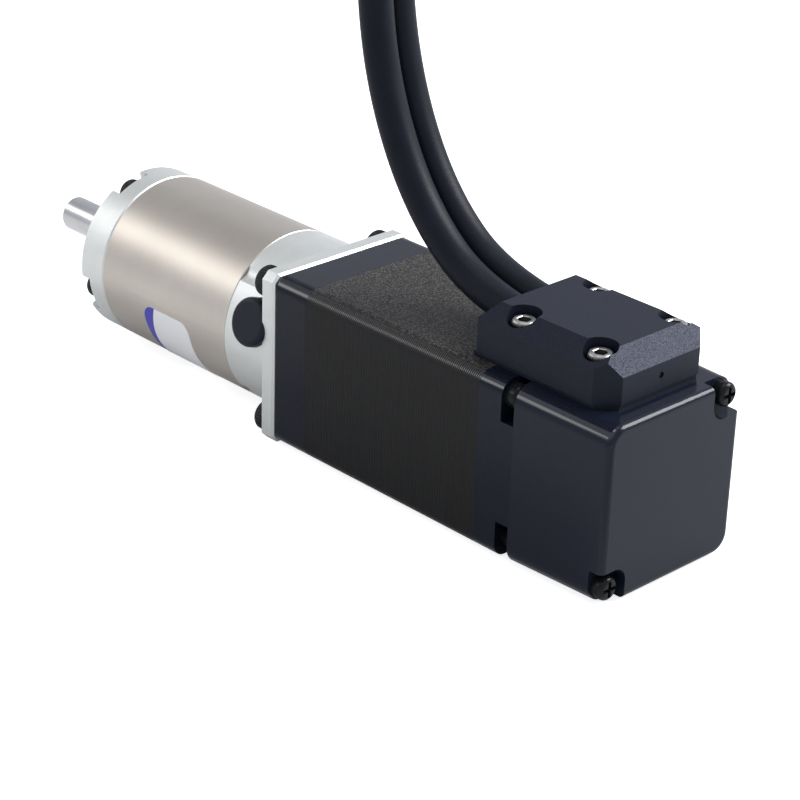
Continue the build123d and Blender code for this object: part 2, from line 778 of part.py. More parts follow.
# Motor front cap
with BuildPart() as motor_front_cap:
    with BuildSketch(Plane.YZ.offset(stator_front_x)):
        RectangleRounded(motor_side, motor_side, motor_corner_r)
    extrude(amount=motor_front_x - stator_front_x)
    fillet(motor_front_cap.faces().sort_by(Axis.X)[-1].edges(), cap_edge_r)
    with BuildSketch(Plane.YZ.offset(motor_front_x)):
        Circle(motor_pilot_r)
        Circle(cap_shaft_hole_r, mode=Mode.SUBTRACT)
    extrude(amount=motor_pilot)
    with BuildSketch(Plane.YZ.offset(motor_front_x)):
        Circle(cap_shaft_hole_r)
    extrude(amount=front_bearing_front_x - motor_front_x, mode=Mode.SUBTRACT)
    with BuildSketch(Plane.YZ.offset(front_bearing_front_x)):
        Circle(motor_bearing_outer_r + fit_gap)
    extrude(amount=stator_front_x - front_bearing_front_x, mode=Mode.SUBTRACT)
    with BuildSketch(Plane.YZ.offset(stator_front_x)):
        Circle(coil_room_r)
        Circle(coil_hub_r, mode=Mode.SUBTRACT)
    extrude(amount=coil_room_depth, mode=Mode.SUBTRACT)
    with BuildSketch(Plane.YZ.offset(motor_front_x)):
        with GridLocations(2 * corner_screw_offset, 2 * corner_screw_offset, 2, 2):
            Circle(m25_r + thread_gap)
    extrude(amount=stator_front_x - motor_front_x, mode=Mode.SUBTRACT)

# Stator laminations with eight poles
with BuildPart() as stator_stack:
    with BuildSketch(Plane.YZ.offset(stator_rear_x)):
        RectangleRounded(motor_side, motor_side, motor_corner_r)
        Circle(slot_outer_r, mode=Mode.SUBTRACT)
        with GridLocations(2 * corner_screw_offset, 2 * corner_screw_offset, 2, 2):
            Circle(m25_clear_r, mode=Mode.SUBTRACT)
        with PolarLocations(0, pole_count, start_angle=0):
            with Locations(((rotor_r + air_gap + slot_outer_r) / 2 + 0.3, 0)):
                Rectangle(slot_outer_r - rotor_r - air_gap + 0.4, 2 * pole_half_width)
            with BuildLine():
                shoe_in = rotor_r + air_gap
                shoe_out = shoe_in + pole_shoe
                CenterArc((0, 0), shoe_in, -pole_shoe_half_deg, 2 * pole_shoe_half_deg)
                CenterArc((0, 0), shoe_out, -pole_shoe_half_deg, 2 * pole_shoe_half_deg)
                Line(on_circle(shoe_in, pole_shoe_half_deg), on_circle(shoe_out, pole_shoe_half_deg))
                Line(on_circle(shoe_in, -pole_shoe_half_deg), on_circle(shoe_out, -pole_shoe_half_deg))
            make_face()
        Circle(rotor_r + air_gap, mode=Mode.SUBTRACT)
    extrude(amount=stator_front_x - stator_rear_x)

# One winding round each pole
with BuildPart() as stator_coils:
    coil_span = coil_outer_r - coil_inner_r
    coil_mid_r = (coil_outer_r + coil_inner_r) / 2
    with BuildSketch(Plane.YZ.offset(stator_rear_x - coil_end)):
        with PolarLocations(0, pole_count, start_angle=0):
            with Locations((coil_mid_r, 0)):
                Rectangle(coil_span, 2 * (pole_half_width + coil_thickness))
    extrude(amount=stator_front_x - stator_rear_x + 2 * coil_end)
    with BuildSketch(Plane.YZ.offset(stator_rear_x - 0.02)):
        with PolarLocations(0, pole_count, start_angle=0):
            with Locations((coil_mid_r, 0)):
                Rectangle(coil_span + 1, 2 * pole_half_width + 0.04)
    extrude(amount=stator_front_x - stator_rear_x + 0.04, mode=Mode.SUBTRACT)

# Rotor: two toothed steel cups, half a tooth apart, with a magnet between them
with BuildPart() as rotor_cups:
    cup_length = (rotor_front_x - rotor_rear_x - magnet_length) / 2
    for cup_x, cup_deg in ((rotor_rear_x, 0), (rotor_front_x - cup_length, 180 / rotor_teeth)):
        with BuildSketch(Plane.YZ.offset(cup_x)):
            Circle(rotor_r)
            with PolarLocations(rotor_r, rotor_teeth, start_angle=cup_deg):
                Rectangle(2 * rotor_tooth_depth, math.pi * rotor_r / rotor_teeth, mode=Mode.SUBTRACT)
            Circle(rotor_journal_r + fit_gap, mode=Mode.SUBTRACT)
        extrude(amount=cup_length)

with BuildPart() as rotor_magnet:
    with BuildSketch(Plane.YZ.offset(rotor_rear_x + cup_length)):
        Circle(rotor_r - 0.6)
        Circle(rotor_journal_r + fit_gap, mode=Mode.SUBTRACT)
    extrude(amount=magnet_length)

with BuildPart() as rotor_shaft:
    with BuildSketch(Plane.YZ.offset(shaft_rear_x)):
        Circle(motor_shaft_r)
    extrude(amount=motor_shaft_front_x - shaft_rear_x)
    chamfer(rotor_shaft.edges().filter_by(GeomType.CIRCLE), 0.3)
    with BuildSketch(Plane.YZ.offset(rear_bearing_rear_x + bearing_width)):
        Circle(rotor_journal_r)
    extrude(amount=front_bearing_front_x - 2 * bearing_width - rear_bearing_rear_x)

with BuildPart() as wave_washer:
    with BuildSketch(Plane.YZ.offset(rear_bearing_rear_x)):
        Circle(motor_bearing_outer_r - 0.1)
        Circle(motor_bearing_outer_r - 1.2, mode=Mode.SUBTRACT)
    extrude(amount=-washer_thickness)

# Rear cap of the motor with corner pockets and two posts for the encoder board
with BuildPart() as rear_end_cap:
    with BuildSketch(Plane.YZ.offset(cap_rear_x)):
        RectangleRounded(motor_side, motor_side, motor_corner_r)
    extrude(amount=stator_rear_x - cap_rear_x)
    with BuildSketch(Plane.YZ.offset(stator_rear_x)):
        Circle(motor_bearing_outer_r + fit_gap)
    extrude(
        amount=rear_bearing_rear_x - washer_thickness - stator_rear_x,
        mode=Mode.SUBTRACT,
    )
    with BuildSketch(Plane.YZ.offset(stator_rear_x)):
        Circle(coil_room_r)
        Circle(coil_hub_r, mode=Mode.SUBTRACT)
    extrude(amount=-coil_room_depth, mode=Mode.SUBTRACT)
    with BuildSketch(Plane.YZ.offset(cap_rear_x)):
        Circle(cap_shaft_hole_r)
    extrude(amount=stator_rear_x - cap_rear_x, mode=Mode.SUBTRACT)
    with BuildSketch(Plane.YZ.offset(cap_rear_x)):
        with GridLocations(2 * pocket_inner + pocket_side, 2 * pocket_inner + pocket_side, 2, 2):
            RectangleRounded(pocket_side, pocket_side, pocket_round)
    extrude(amount=pocket_depth, mode=Mode.SUBTRACT)
    with BuildSketch(Plane.YZ.offset(cap_rear_x)):
        with GridLocations(2 * corner_screw_offset, 2 * corner_screw_offset, 2, 2):
            Circle(m25_clear_r)
    extrude(amount=stator_rear_x - cap_rear_x, mode=Mode.SUBTRACT)
    with BuildSketch(Plane.YZ.offset(cap_rear_x)):
        with Locations((standoff_y, 0), (-standoff_y, 0)):
            Circle(standoff_r)
            Circle(board_screw_r + thread_gap, mode=Mode.SUBTRACT)
    extrude(amount=board_front_x - cap_rear_x)
    with BuildSketch(Plane.XY.offset(motor_side / 2)):
        with Locations((box_screw_front_x, box_screw_y), (box_screw_front_x, -box_screw_y)):
            Circle(m2_r + thread_gap)
    extrude(amount=m2_tip_z - 0.2 - motor_side / 2, mode=Mode.SUBTRACT)

with BuildPart() as motor_screws:
    with BuildSketch(Plane.YZ.offset(cap_rear_x + pocket_depth)):
        with Locations((corner_screw_offset, corner_screw_offset), (-corner_screw_offset, -corner_screw_offset)):
            Circle(motor_head_r)
    extrude(amount=-motor_head)
    fillet(motor_screws.edges().filter_by(GeomType.CIRCLE).group_by(Axis.X)[0], 0.6)
    with BuildSketch(Plane.YZ.offset(cap_rear_x + pocket_depth)):
        with Locations((corner_screw_offset, corner_screw_offset), (-corner_screw_offset, -corner_screw_offset)):
            Circle(m25_r)
    extrude(amount=long_screw_tip_x - cap_rear_x - pocket_depth)
    with BuildSketch(Plane.YZ.offset(cap_rear_x + pocket_depth - motor_head)):
        with Locations((corner_screw_offset, corner_screw_offset), (-corner_screw_offset, -corner_screw_offset)):
            Rectangle(cross_span, cross_width)
            Rectangle(cross_width, cross_span)
    extrude(amount=cross_depth, mode=Mode.SUBTRACT)

# Encoder: magnet on the end of the motor shaft, board behind it
with BuildPart() as encoder_magnet_hub:
    with BuildSketch(Plane.YZ.offset(magnet_hub_rear_x)):
        Circle(magnet_hub_r)
    extrude(amount=magnet_hub_front_x - magnet_hub_rear_x)
    with BuildSketch(Plane.YZ.offset(magnet_hub_front_x)):
        Circle(motor_shaft_r + fit_gap)
    extrude(amount=shaft_rear_x - magnet_hub_front_x, mode=Mode.SUBTRACT)
    with BuildSketch(Plane.YZ.offset(magnet_hub_rear_x)):
        Circle(magnet_r + fit_gap)
    extrude(amount=magnet_depth, mode=Mode.SUBTRACT)

with BuildPart() as encoder_magnet:
    with BuildSketch(Plane.YZ.offset(magnet_hub_rear_x)):
        Circle(magnet_r)
    extrude(amount=magnet_depth)

with BuildPart() as encoder_board:
    with BuildSketch(Plane.YZ.offset(board_front_x)):
        Rectangle(2 * board_half_y, 2 * board_half_z)
        chamfer(vertices(), board_corner)
        with Locations((standoff_y, 0), (-standoff_y, 0)):
            Circle(board_screw_r + run_gap, mode=Mode.SUBTRACT)
    extrude(amount=-board_thickness)
    with BuildSketch(Plane.YZ.offset(board_front_x)):
        Rectangle(chip_side, chip_side)
    extrude(amount=chip_height)
    with BuildSketch(Plane.YZ.offset(board_front_x - board_thickness)):
        with Locations((0, 4.5)):
            Rectangle(8, 2.6)
        with Locations((-3.5, -4.5), (3.5, -4.5)):
            Rectangle(2.4, 2.4)
    extrude(amount=-1.4)

with BuildPart() as board_screws:
    with BuildSketch(Plane.YZ.offset(board_front_x - board_thickness)):
        with Locations((standoff_y, 0), (-standoff_y, 0)):
            Circle(board_head_r)
            Rectangle(1.6, 0.35, mode=Mode.SUBTRACT)
    extrude(amount=-board_head)
    with BuildSketch(Plane.YZ.offset(board_front_x - board_thickness - board_head / 2)):
        with Locations((standoff_y, 0), (-standoff_y, 0)):
            Circle(board_screw_r)
    extrude(amount=board_screw_length)

# Rear cover, a hollow box that narrows slightly to the rear
draft = (cover_front_side - cover_rear_side) / 2 / (cap_rear_x - cover_rear_x)
with BuildPart() as rear_cover:
    with BuildSketch(Plane.YZ.offset(cap_rear_x)):
        RectangleRounded(cover_front_side, cover_front_side, cover_corner_r)
    with BuildSketch(Plane.YZ.offset(cover_rear_x)):
        RectangleRounded(cover_rear_side, cover_rear_side, cover_corner_r)
    loft()
    fillet(rear_cover.faces().sort_by(Axis.X)[0].edges(), cover_rear_edge_r)
    with BuildSketch(Plane.YZ.offset(cap_rear_x)):
        RectangleRounded(
            cover_front_side - 2 * cover_wall,
            cover_front_side - 2 * cover_wall,
            cover_corner_r - 1,
        )
    with BuildSketch(Plane.YZ.offset(cover_rear_x + cover_wall)):
        RectangleRounded(
            cover_rear_side - 2 * cover_wall,
            cover_rear_side - 2 * cover_wall,
            cover_corner_r - 1,
        )
    loft(mode=Mode.SUBTRACT)
    with BuildSketch(Plane.YZ.offset(cap_rear_x)):
        with Locations((corner_screw_offset, -corner_screw_offset), (-corner_screw_offset, corner_screw_offset)):
            Circle(boss_r)
    boss_rear_x = cover_rear_x + cover_wall
    extrude(amount=boss_rear_x - cap_rear_x)
    pad_out = cover_rear_side / 2 - cover_wall + 0.1
    pad_low_y = low_notch_y - notch_pad
    pad_high_y = high_notch_y - notch_pad
    pad_z = notch_z - notch_pad
    with BuildSketch(Plane.YZ.offset(cover_rear_x + cover_wall - 0.1)):
        with Locations(((pad_out + pad_low_y) / 2, -(pad_out + pad_z) / 2)):
            Rectangle(pad_out - pad_low_y, pad_out - pad_z)
        with Locations((-(pad_out + pad_high_y) / 2, (pad_out + pad_z) / 2)):
            Rectangle(pad_out - pad_high_y, pad_out - pad_z)
    extrude(amount=cover_notch_depth + notch_pad - cover_wall + 0.1)
    with BuildSketch(Plane.YZ.offset(cover_rear_x)):
        with Locations(
            (low_notch_y + notch_side / 2, -notch_z - notch_side / 2),
            (-high_notch_y - notch_side / 2, notch_z + notch_side / 2),
        ):
            RectangleRounded(notch_side, notch_side, cover_notch_r)
    extrude(amount=cover_notch_depth, mode=Mode.SUBTRACT)
    with BuildSketch(Plane.YZ.offset(cover_rear_x)):
        with Locations((corner_screw_offset, -corner_screw_offset), (-corner_screw_offset, corner_screw_offset)):
            Circle(m25_clear_r)
    extrude(amount=cap_rear_x - cover_rear_x, mode=Mode.SUBTRACT)
    with BuildSketch(Plane.XY.offset(m2_tip_z - 0.8)):
        with Locations((box_screw_rear_x, box_screw_y), (box_screw_rear_x, -box_screw_y)):
            Circle(m2_r + 1.1)
    extrude(amount=cover_rear_side / 2 - 0.5 - m2_tip_z + 0.8)
    with BuildSketch(Plane.XY.offset(m2_tip_z - 0.2)):
        with Locations((box_screw_rear_x, box_screw_y), (box_screw_rear_x, -box_screw_y)):
            Circle(m2_r + thread_gap)
    extrude(amount=cover_front_side / 2 - m2_tip_z + 1, mode=Mode.SUBTRACT)
    with BuildSketch(Plane.XY.offset(board_half_z)):
        with Locations(((cover_slot_front_x + cover_slot_rear_x) / 2, 0)):
            Rectangle(cover_slot_front_x - cover_slot_rear_x, 2 * cover_slot_half)
    extrude(amount=cover_front_side, mode=Mode.SUBTRACT)

with BuildPart() as cover_screws:
    head_x = cover_rear_x + cover_notch_depth
    with BuildSketch(Plane.YZ.offset(head_x)):
        with Locations((corner_screw_offset, -corner_screw_offset), (-corner_screw_offset, corner_screw_offset)):
            Circle(cover_head_r)
    extrude(amount=-cover_head)
    fillet(cover_screws.edges().filter_by(GeomType.CIRCLE).group_by(Axis.X)[0], cover_head_round)
    with BuildSketch(Plane.YZ.offset(head_x)):
        with Locations((corner_screw_offset, -corner_screw_offset), (-corner_screw_offset, corner_screw_offset)):
            Circle(m25_r)
    extrude(amount=long_screw_tip_x - head_x)
    with BuildSketch(Plane.YZ.offset(head_x - cover_head)):
        with Locations((corner_screw_offset, -corner_screw_offset), (-corner_screw_offset, corner_screw_offset)):
            Rectangle(cross_span, cross_width)
            Rectangle(cross_width, cross_span)
    extrude(amount=cross_depth, mode=Mode.SUBTRACT)

# Base of the cable box, lying on the motor and on the sloping top of the rear cover
with BuildPart() as cable_box_base:
    cover_top_rear_z = cover_front_side / 2 - draft * (cap_rear_x - box_rear_x - box_base_inset)
    with BuildSketch(Plane.XZ):
        with BuildLine():
            Polyline(
                (box_rear_x + box_base_inset, cover_top_rear_z),
                (cap_rear_x, cover_front_side / 2),
                (cap_rear_x, motor_side / 2),
                (box_front_x - box_base_inset, motor_side / 2),
                (box_front_x - box_base_inset, box_split_z),
                (box_rear_x + box_base_inset, box_split_z),
                close=True,
            )
        make_face()
    extrude(amount=box_half_width - box_base_inset, both=True)
    chamfer(
        cable_box_base.edges().filter_by(Axis.Z).group_by(Axis.X)[0],
        box_rear_corner - box_base_inset,
    )
    with BuildSketch(Plane.XY.offset(motor_side / 2 - 2)):
        with Locations(((cover_slot_front_x + cover_slot_rear_x) / 2, 0)):
            Rectangle(cover_slot_front_x - cover_slot_rear_x, 2 * cover_slot_half)
        with Locations(
            (box_screw_rear_x, box_screw_y),
            (box_screw_rear_x, -box_screw_y),
            (box_screw_front_x, box_screw_y),
            (box_screw_front_x, -box_screw_y),
        ):
            Circle(m2_clear_r)
    extrude(amount=6, mode=Mode.SUBTRACT)

# Cover of the cable box with sloping edges
box_mid_x = (box_rear_x + box_front_x) / 2
box_length = box_front_x - box_rear_x
with BuildPart() as cable_box_cover:
    with BuildSketch(Plane.XY.offset(box_split_z)):
        with BuildLine():
            Polyline(
                (box_front_x, -box_half_width + box_front_corner),
                (box_front_x, box_half_width - box_front_corner),
                (box_front_x - box_front_corner, box_half_width),
                (box_rear_x + box_rear_corner, box_half_width),
                (box_rear_x, box_half_width - box_rear_corner),
                (box_rear_x, -box_half_width + box_rear_corner),
                (box_rear_x + box_rear_corner, -box_half_width),
                (box_front_x - box_front_corner, -box_half_width),
                close=True,
            )
        make_face()
    extrude(amount=box_top_z - box_split_z)
    with BuildSketch(Plane.YZ.offset(box_rear_x - 1)):
        for side in (1, -1):
            with BuildLine():
                Polyline(
                    (side * box_top_half_width, box_top_z),
                    (side * box_half_width, box_side_top_z),
                    (side * (box_half_width + 2), box_side_top_z),
                    (side * (box_half_width + 2), box_top_z + 1),
                    (side * box_top_half_width, box_top_z + 1),
                    close=True,
                )
            make_face()
    extrude(amount=box_length + 2, mode=Mode.SUBTRACT)
    with BuildSketch(Plane.XZ):
        for end_x, side in ((box_rear_x, 1), (box_front_x, -1)):
            with BuildLine():
                Polyline(
                    (end_x + side * box_end_run, box_top_z),
                    (end_x, box_end_top_z),
                    (end_x - side * 1, box_end_top_z),
                    (end_x - side * 1, box_top_z + 1),
                    (end_x + side * box_end_run, box_top_z + 1),
                    close=True,
                )
            make_face()
    extrude(amount=2 * box_half_width, both=True, mode=Mode.SUBTRACT)
    with BuildSketch(Plane.XY.offset(box_split_z)):
        with Locations((box_mid_x, 0)):
            Rectangle(box_length - 2 * box_wall - 2 * box_end_run, 2 * box_half_width - 2 * box_wall)
            Rectangle(box_length - 2 * box_wall, 2 * grommet_half_y)
        with Locations(
            (box_screw_rear_x, box_screw_y),
            (box_screw_rear_x, -box_screw_y),
            (box_screw_front_x, box_screw_y),
            (box_screw_front_x, -box_screw_y),
        ):
            Circle(box_pillar_r, mode=Mode.SUBTRACT)
    extrude(amount=box_end_top_z - 0.5 - box_split_z, mode=Mode.SUBTRACT)
    with BuildSketch(Plane.XY.offset(box_end_top_z - 0.6)):
        with Locations((box_mid_x, 0)):
            Rectangle(box_length - 2 * box_wall - 2 * box_end_run, 2 * (box_screw_y - box_bore_r - 0.4))
    extrude(amount=box_top_z - box_roof - box_end_top_z + 0.6, mode=Mode.SUBTRACT)
    with BuildSketch(Plane.XY.offset(box_end_top_z - 0.6)):
        with Locations(((box_screw_front_x + box_screw_rear_x) / 2, 0)):
            Rectangle(box_screw_front_x - box_screw_rear_x - 2 * box_bore_r - 0.5, 2 * box_room_half)
    extrude(amount=box_top_z - box_roof - box_end_top_z + 0.6, mode=Mode.SUBTRACT)
    with BuildSketch(Plane.YZ.offset(box_front_x)):
        with Locations((0, (grommet_high_z + box_split_z) / 2)):
            Rectangle(2 * grommet_half_y, grommet_high_z - box_split_z)
    extrude(amount=-box_wall - box_end_run, mode=Mode.SUBTRACT)
    with BuildSketch(Plane.YZ.offset(box_front_x)):
        with Locations((near_cable_y, cable_z), (far_cable_y, cable_z)):
            Circle(cable_r + run_gap)
    extrude(amount=cable_start_x - box_front_x, mode=Mode.SUBTRACT)
    with BuildSketch(Plane.XY.offset(box_seat_z)):
        with Locations(
            (box_screw_rear_x, box_screw_y),
            (box_screw_rear_x, -box_screw_y),
            (box_screw_front_x, box_screw_y),
            (box_screw_front_x, -box_screw_y),
        ):
            Circle(box_bore_r)
    extrude(amount=5, mode=Mode.SUBTRACT)
    with BuildSketch(Plane.XY.offset(box_split_z)):
        with Locations(
            (box_screw_rear_x, box_screw_y),
            (box_screw_rear_x, -box_screw_y),
            (box_screw_front_x, box_screw_y),
            (box_screw_front_x, -box_screw_y),
        ):
            Circle(m2_clear_r)
    extrude(amount=5, mode=Mode.SUBTRACT)
    with BuildSketch(Plane.YZ.offset(box_rear_x)):
        with Locations((0, dimple_z)):
            Circle(dimple_r)
    extrude(amount=dimple_depth, mode=Mode.SUBTRACT)

with BuildPart() as box_screws:
    with BuildSketch(Plane.XY.offset(box_seat_z)):
        with Locations(
            (box_screw_rear_x, box_screw_y),
            (box_screw_rear_x, -box_screw_y),
            (box_screw_front_x, box_screw_y),
            (box_screw_front_x, -box_screw_y),
        ):
            Circle(m2_head_r)
    extrude(amount=m2_head)
    chamfer(box_screws.edges().filter_by(GeomType.CIRCLE).group_by(Axis.Z)[-1], 0.2)
    with BuildSketch(Plane.XY.offset(box_seat_z)):
        with Locations(
            (box_screw_rear_x, box_screw_y),
            (box_screw_rear_x, -box_screw_y),
            (box_screw_front_x, box_screw_y),
            (box_screw_front_x, -box_screw_y),
        ):
            Circle(m2_r)
    extrude(amount=m2_tip_z - box_seat_z)
    with BuildSketch(Plane.XY.offset(box_seat_z + m2_head)):
        with Locations(
            (box_screw_rear_x, box_screw_y),
            (box_screw_rear_x, -box_screw_y),
            (box_screw_front_x, box_screw_y),
            (box_screw_front_x, -box_screw_y),
        ):
            RegularPolygon(hex_r(m2_hex_af), 6)
    extrude(amount=-m2_hex_depth, mode=Mode.SUBTRACT)

# Rubber grommet in the front wall and terminal block inside, where the cables end
with BuildPart() as cable_grommet:
    with BuildSketch(Plane.YZ.offset(box_front_x - grommet_thickness)):
        with Locations((0, (grommet_high_z + box_split_z) / 2)):
            Rectangle(2 * grommet_half_y - 2 * fit_gap, grommet_high_z - box_split_z - 2 * fit_gap)
        with Locations((near_cable_y, cable_z + grommet_lift), (far_cable_y, cable_z + grommet_lift)):
            Circle(cable_r + grommet_play, mode=Mode.SUBTRACT)
    extrude(amount=grommet_thickness - 0.3)
    with BuildSketch(Plane.XZ):
        with BuildLine():
            Polyline(
                (box_front_x - box_end_run, box_top_z),
                (box_front_x, box_end_top_z),
                (box_front_x + 1, box_end_top_z),
                (box_front_x + 1, box_top_z),
                close=True,
            )
        make_face()
    extrude(amount=box_half_width, both=True, mode=Mode.SUBTRACT)

with BuildPart() as terminal_block:
    with BuildSketch(Plane.YZ.offset(cable_start_x - terminal_length)):
        with Locations((0, (terminal_low_z + terminal_high_z) / 2)):
            Rectangle(2 * terminal_half_y, terminal_high_z - terminal_low_z)
    extrude(amount=terminal_length)
    with BuildSketch(Plane.YZ.offset(cable_start_x - terminal_length)):
        with Locations((near_cable_y, cable_z), (far_cable_y, cable_z)):
            with GridLocations(1.8, 1.8, 2, 2):
                Circle(0.5)
    extrude(amount=1.5, mode=Mode.SUBTRACT)

# Cables, round tubes along their laid lines
with BuildPart() as motor_cable:
    with BuildLine() as motor_route:
        FilletPolyline(*near_points, radius=bend_radii(near_points))
    with BuildSketch(Plane(motor_route.line @ 0, z_dir=motor_route.line % 0)):
        Circle(cable_r)
    sweep(path=motor_route.line)

with BuildPart() as encoder_cable:
    with BuildLine() as encoder_route:
        FilletPolyline(*far_points, radius=bend_radii(far_points))
    with BuildSketch(Plane(encoder_route.line @ 0, z_dir=encoder_route.line % 0)):
        Circle(cable_r)
    sweep(path=encoder_route.line)

print("motor cable length", round(motor_route.wire().length, 1))
print("motor cable radii", [round(r, 1) for r in bend_radii(near_points)])
cable_area = math.pi * cable_r**2
print("motor cable fill", round(motor_cable.part.volume / (cable_area * motor_route.wire().length), 4))
print("encoder cable length", round(encoder_route.wire().length, 1))
print("encoder cable radii", [round(r, 1) for r in bend_radii(far_points)])
print("encoder cable fill", round(encoder_cable.part.volume / (cable_area * encoder_route.wire().length), 4))

# A crimp housing on the far end of each cable
plug_bodies = []
for points in (near_points, far_points):
    end_x, end_y, end_z = points[-1]
    with BuildPart() as plug_body:
        with BuildSketch(Plane.YZ.offset(end_x)):
            with Locations((end_y, end_z)):
                Rectangle(2 * plug_half_width, 2 * plug_half_height)
        extrude(amount=-plug_length)
        chamfer(plug_body.edges().filter_by(Axis.X), 0.5)
        with BuildSketch(Plane.YZ.offset(end_x - plug_length)):
            with Locations((end_y, end_z)):
                Rectangle(
                    2 * (plug_half_width - plug_mouth_wall),
                    2 * (plug_half_height - plug_mouth_wall),
                )
        extrude(amount=plug_mouth_depth, mode=Mode.SUBTRACT)
        with BuildSketch(Plane.YZ.offset(end_x - plug_length + plug_mouth_depth)):
            with Locations((end_y, end_z)):
                with GridLocations(2.0, 1, 4, 1):
                    Circle(0.45)
        extrude(amount=0.5 - plug_mouth_depth)
        with BuildSketch(Plane.XY.offset(end_z + plug_half_height)):
            with Locations((end_x - 0.6 * plug_length, end_y)):
                Rectangle(plug_latch_length, plug_latch_width)
        extrude(amount=0.9)
    plug_bodies.append(plug_body)
motor_plug, encoder_plug = plug_bodies

# Thin label wrapped on the sleeve
label_middle = on_circle(1, label_middle_deg)
label_height = 2 * gearbox_r * math.sin(math.radians(label_half_deg))
label_plane = Plane(
    ((label_front_x + label_rear_x) / 2, 0, 0),
    x_dir=(1, 0, 0),
    z_dir=(0, label_middle[0], label_middle[1]),
)
with BuildPart() as sleeve_label:
    with BuildSketch(Plane.YZ.offset(label_rear_x)):
        Circle(gearbox_r + label_thickness)
        Circle(gearbox_r, mode=Mode.SUBTRACT)
    extrude(amount=label_front_x - label_rear_x)
    with BuildSketch(label_plane):
        RectangleRounded(label_front_x - label_rear_x, label_height, label_corner)
    extrude(amount=gearbox_r + 1, mode=Mode.INTERSECT)

output_shaft.part.label = "output_shaft"
export_step(output_shaft.part, "parts/output_shaft.step")
carrier_rear_plate.part.label = "carrier_rear_plate"
export_step(carrier_rear_plate.part, "parts/carrier_rear_plate.step")
carrier_screws.part.label = "carrier_screws"
export_step(carrier_screws.part, "parts/carrier_screws.step")
planet_pins.part.label = "planet_pins"
export_step(planet_pins.part, "parts/planet_pins.step")
retaining_ring.part.label = "retaining_ring"
export_step(retaining_ring.part, "parts/retaining_ring.step")
output_bearing_front.part.label = "output_bearing_front"
export_step(output_bearing_front.part, "parts/output_bearing_front.step")
output_bearing_rear.part.label = "output_bearing_rear"
export_step(output_bearing_rear.part, "parts/output_bearing_rear.step")
input_bearing.part.label = "input_bearing"
export_step(input_bearing.part, "parts/input_bearing.step")
motor_bearing_front.part.label = "motor_bearing_front"
export_step(motor_bearing_front.part, "parts/motor_bearing_front.step")
motor_bearing_rear.part.label = "motor_bearing_rear"
export_step(motor_bearing_rear.part, "parts/motor_bearing_rear.step")
front_flange.part.label = "front_flange"
export_step(front_flange.part, "parts/front_flange.step")
flange_screws.part.label = "flange_screws"
export_step(flange_screws.part, "parts/flange_screws.step")
ring_gear.part.label = "ring_gear"
export_step(ring_gear.part, "parts/ring_gear.step")
for index, planet_gear in enumerate(planet_gears):
    planet_gear.part.label = f"planet_gear_{index + 1}"
    export_step(planet_gear.part, f"parts/planet_gear_{index + 1}.step")
sun_pinion.part.label = "sun_pinion"
export_step(sun_pinion.part, "parts/sun_pinion.step")
clamp_screw.part.label = "clamp_screw"
export_step(clamp_screw.part, "parts/clamp_screw.step")
gearbox_adaptor.part.label = "gearbox_adaptor"
export_step(gearbox_adaptor.part, "parts/gearbox_adaptor.step")
adaptor_ring_screws.part.label = "adaptor_ring_screws"
export_step(adaptor_ring_screws.part, "parts/adaptor_ring_screws.step")
adaptor_screws.part.label = "adaptor_screws"
export_step(adaptor_screws.part, "parts/adaptor_screws.step")
access_plug.part.label = "access_plug"
export_step(access_plug.part, "parts/access_plug.step")
motor_front_cap.part.label = "motor_front_cap"
export_step(motor_front_cap.part, "parts/motor_front_cap.step")
stator_stack.part.label = "stator_stack"
export_step(stator_stack.part, "parts/stator_stack.step")
stator_coils.part.label = "stator_coils"
export_step(stator_coils.part, "parts/stator_coils.step")
rotor_cups.part.label = "rotor_cups"
export_step(rotor_cups.part, "parts/rotor_cups.step")
rotor_magnet.part.label = "rotor_magnet"
export_step(rotor_magnet.part, "parts/rotor_magnet.step")
rotor_shaft.part.label = "rotor_shaft"
export_step(rotor_shaft.part, "parts/rotor_shaft.step")
wave_washer.part.label = "wave_washer"
export_step(wave_washer.part, "parts/wave_washer.step")
rear_end_cap.part.label = "rear_end_cap"
export_step(rear_end_cap.part, "parts/rear_end_cap.step")
motor_screws.part.label = "motor_screws"
export_step(motor_screws.part, "parts/motor_screws.step")
encoder_magnet_hub.part.label = "encoder_magnet_hub"
export_step(encoder_magnet_hub.part, "parts/encoder_magnet_hub.step")
encoder_magnet.part.label = "encoder_magnet"
export_step(encoder_magnet.part, "parts/encoder_magnet.step")
encoder_board.part.label = "encoder_board"
export_step(encoder_board.part, "parts/encoder_board.step")
board_screws.part.label = "board_screws"
export_step(board_screws.part, "parts/board_screws.step")
rear_cover.part.label = "rear_cover"
export_step(rear_cover.part, "parts/rear_cover.step")
cover_screws.part.label = "cover_screws"
export_step(cover_screws.part, "parts/cover_screws.step")
cable_box_base.part.label = "cable_box_base"
export_step(cable_box_base.part, "parts/cable_box_base.step")
cable_box_cover.part.label = "cable_box_cover"
export_step(cable_box_cover.part, "parts/cable_box_cover.step")
box_screws.part.label = "box_screws"
export_step(box_screws.part, "parts/box_screws.step")
cable_grommet.part.label = "cable_grommet"
export_step(cable_grommet.part, "parts/cable_grommet.step")
terminal_block.part.label = "terminal_block"
export_step(terminal_block.part, "parts/terminal_block.step")
motor_cable.part.label = "motor_cable"
export_step(motor_cable.part, "parts/motor_cable.step")
encoder_cable.part.label = "encoder_cable"
export_step(encoder_cable.part, "parts/encoder_cable.step")
motor_plug.part.label = "motor_plug"
export_step(motor_plug.part, "parts/motor_plug.step")
encoder_plug.part.label = "encoder_plug"
export_step(encoder_plug.part, "parts/encoder_plug.step")
sleeve_label.part.label = "sleeve_label"
export_step(sleeve_label.part, "parts/sleeve_label.step")
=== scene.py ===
import json
import math

import bpy
import numpy as np
from mathutils import Matrix


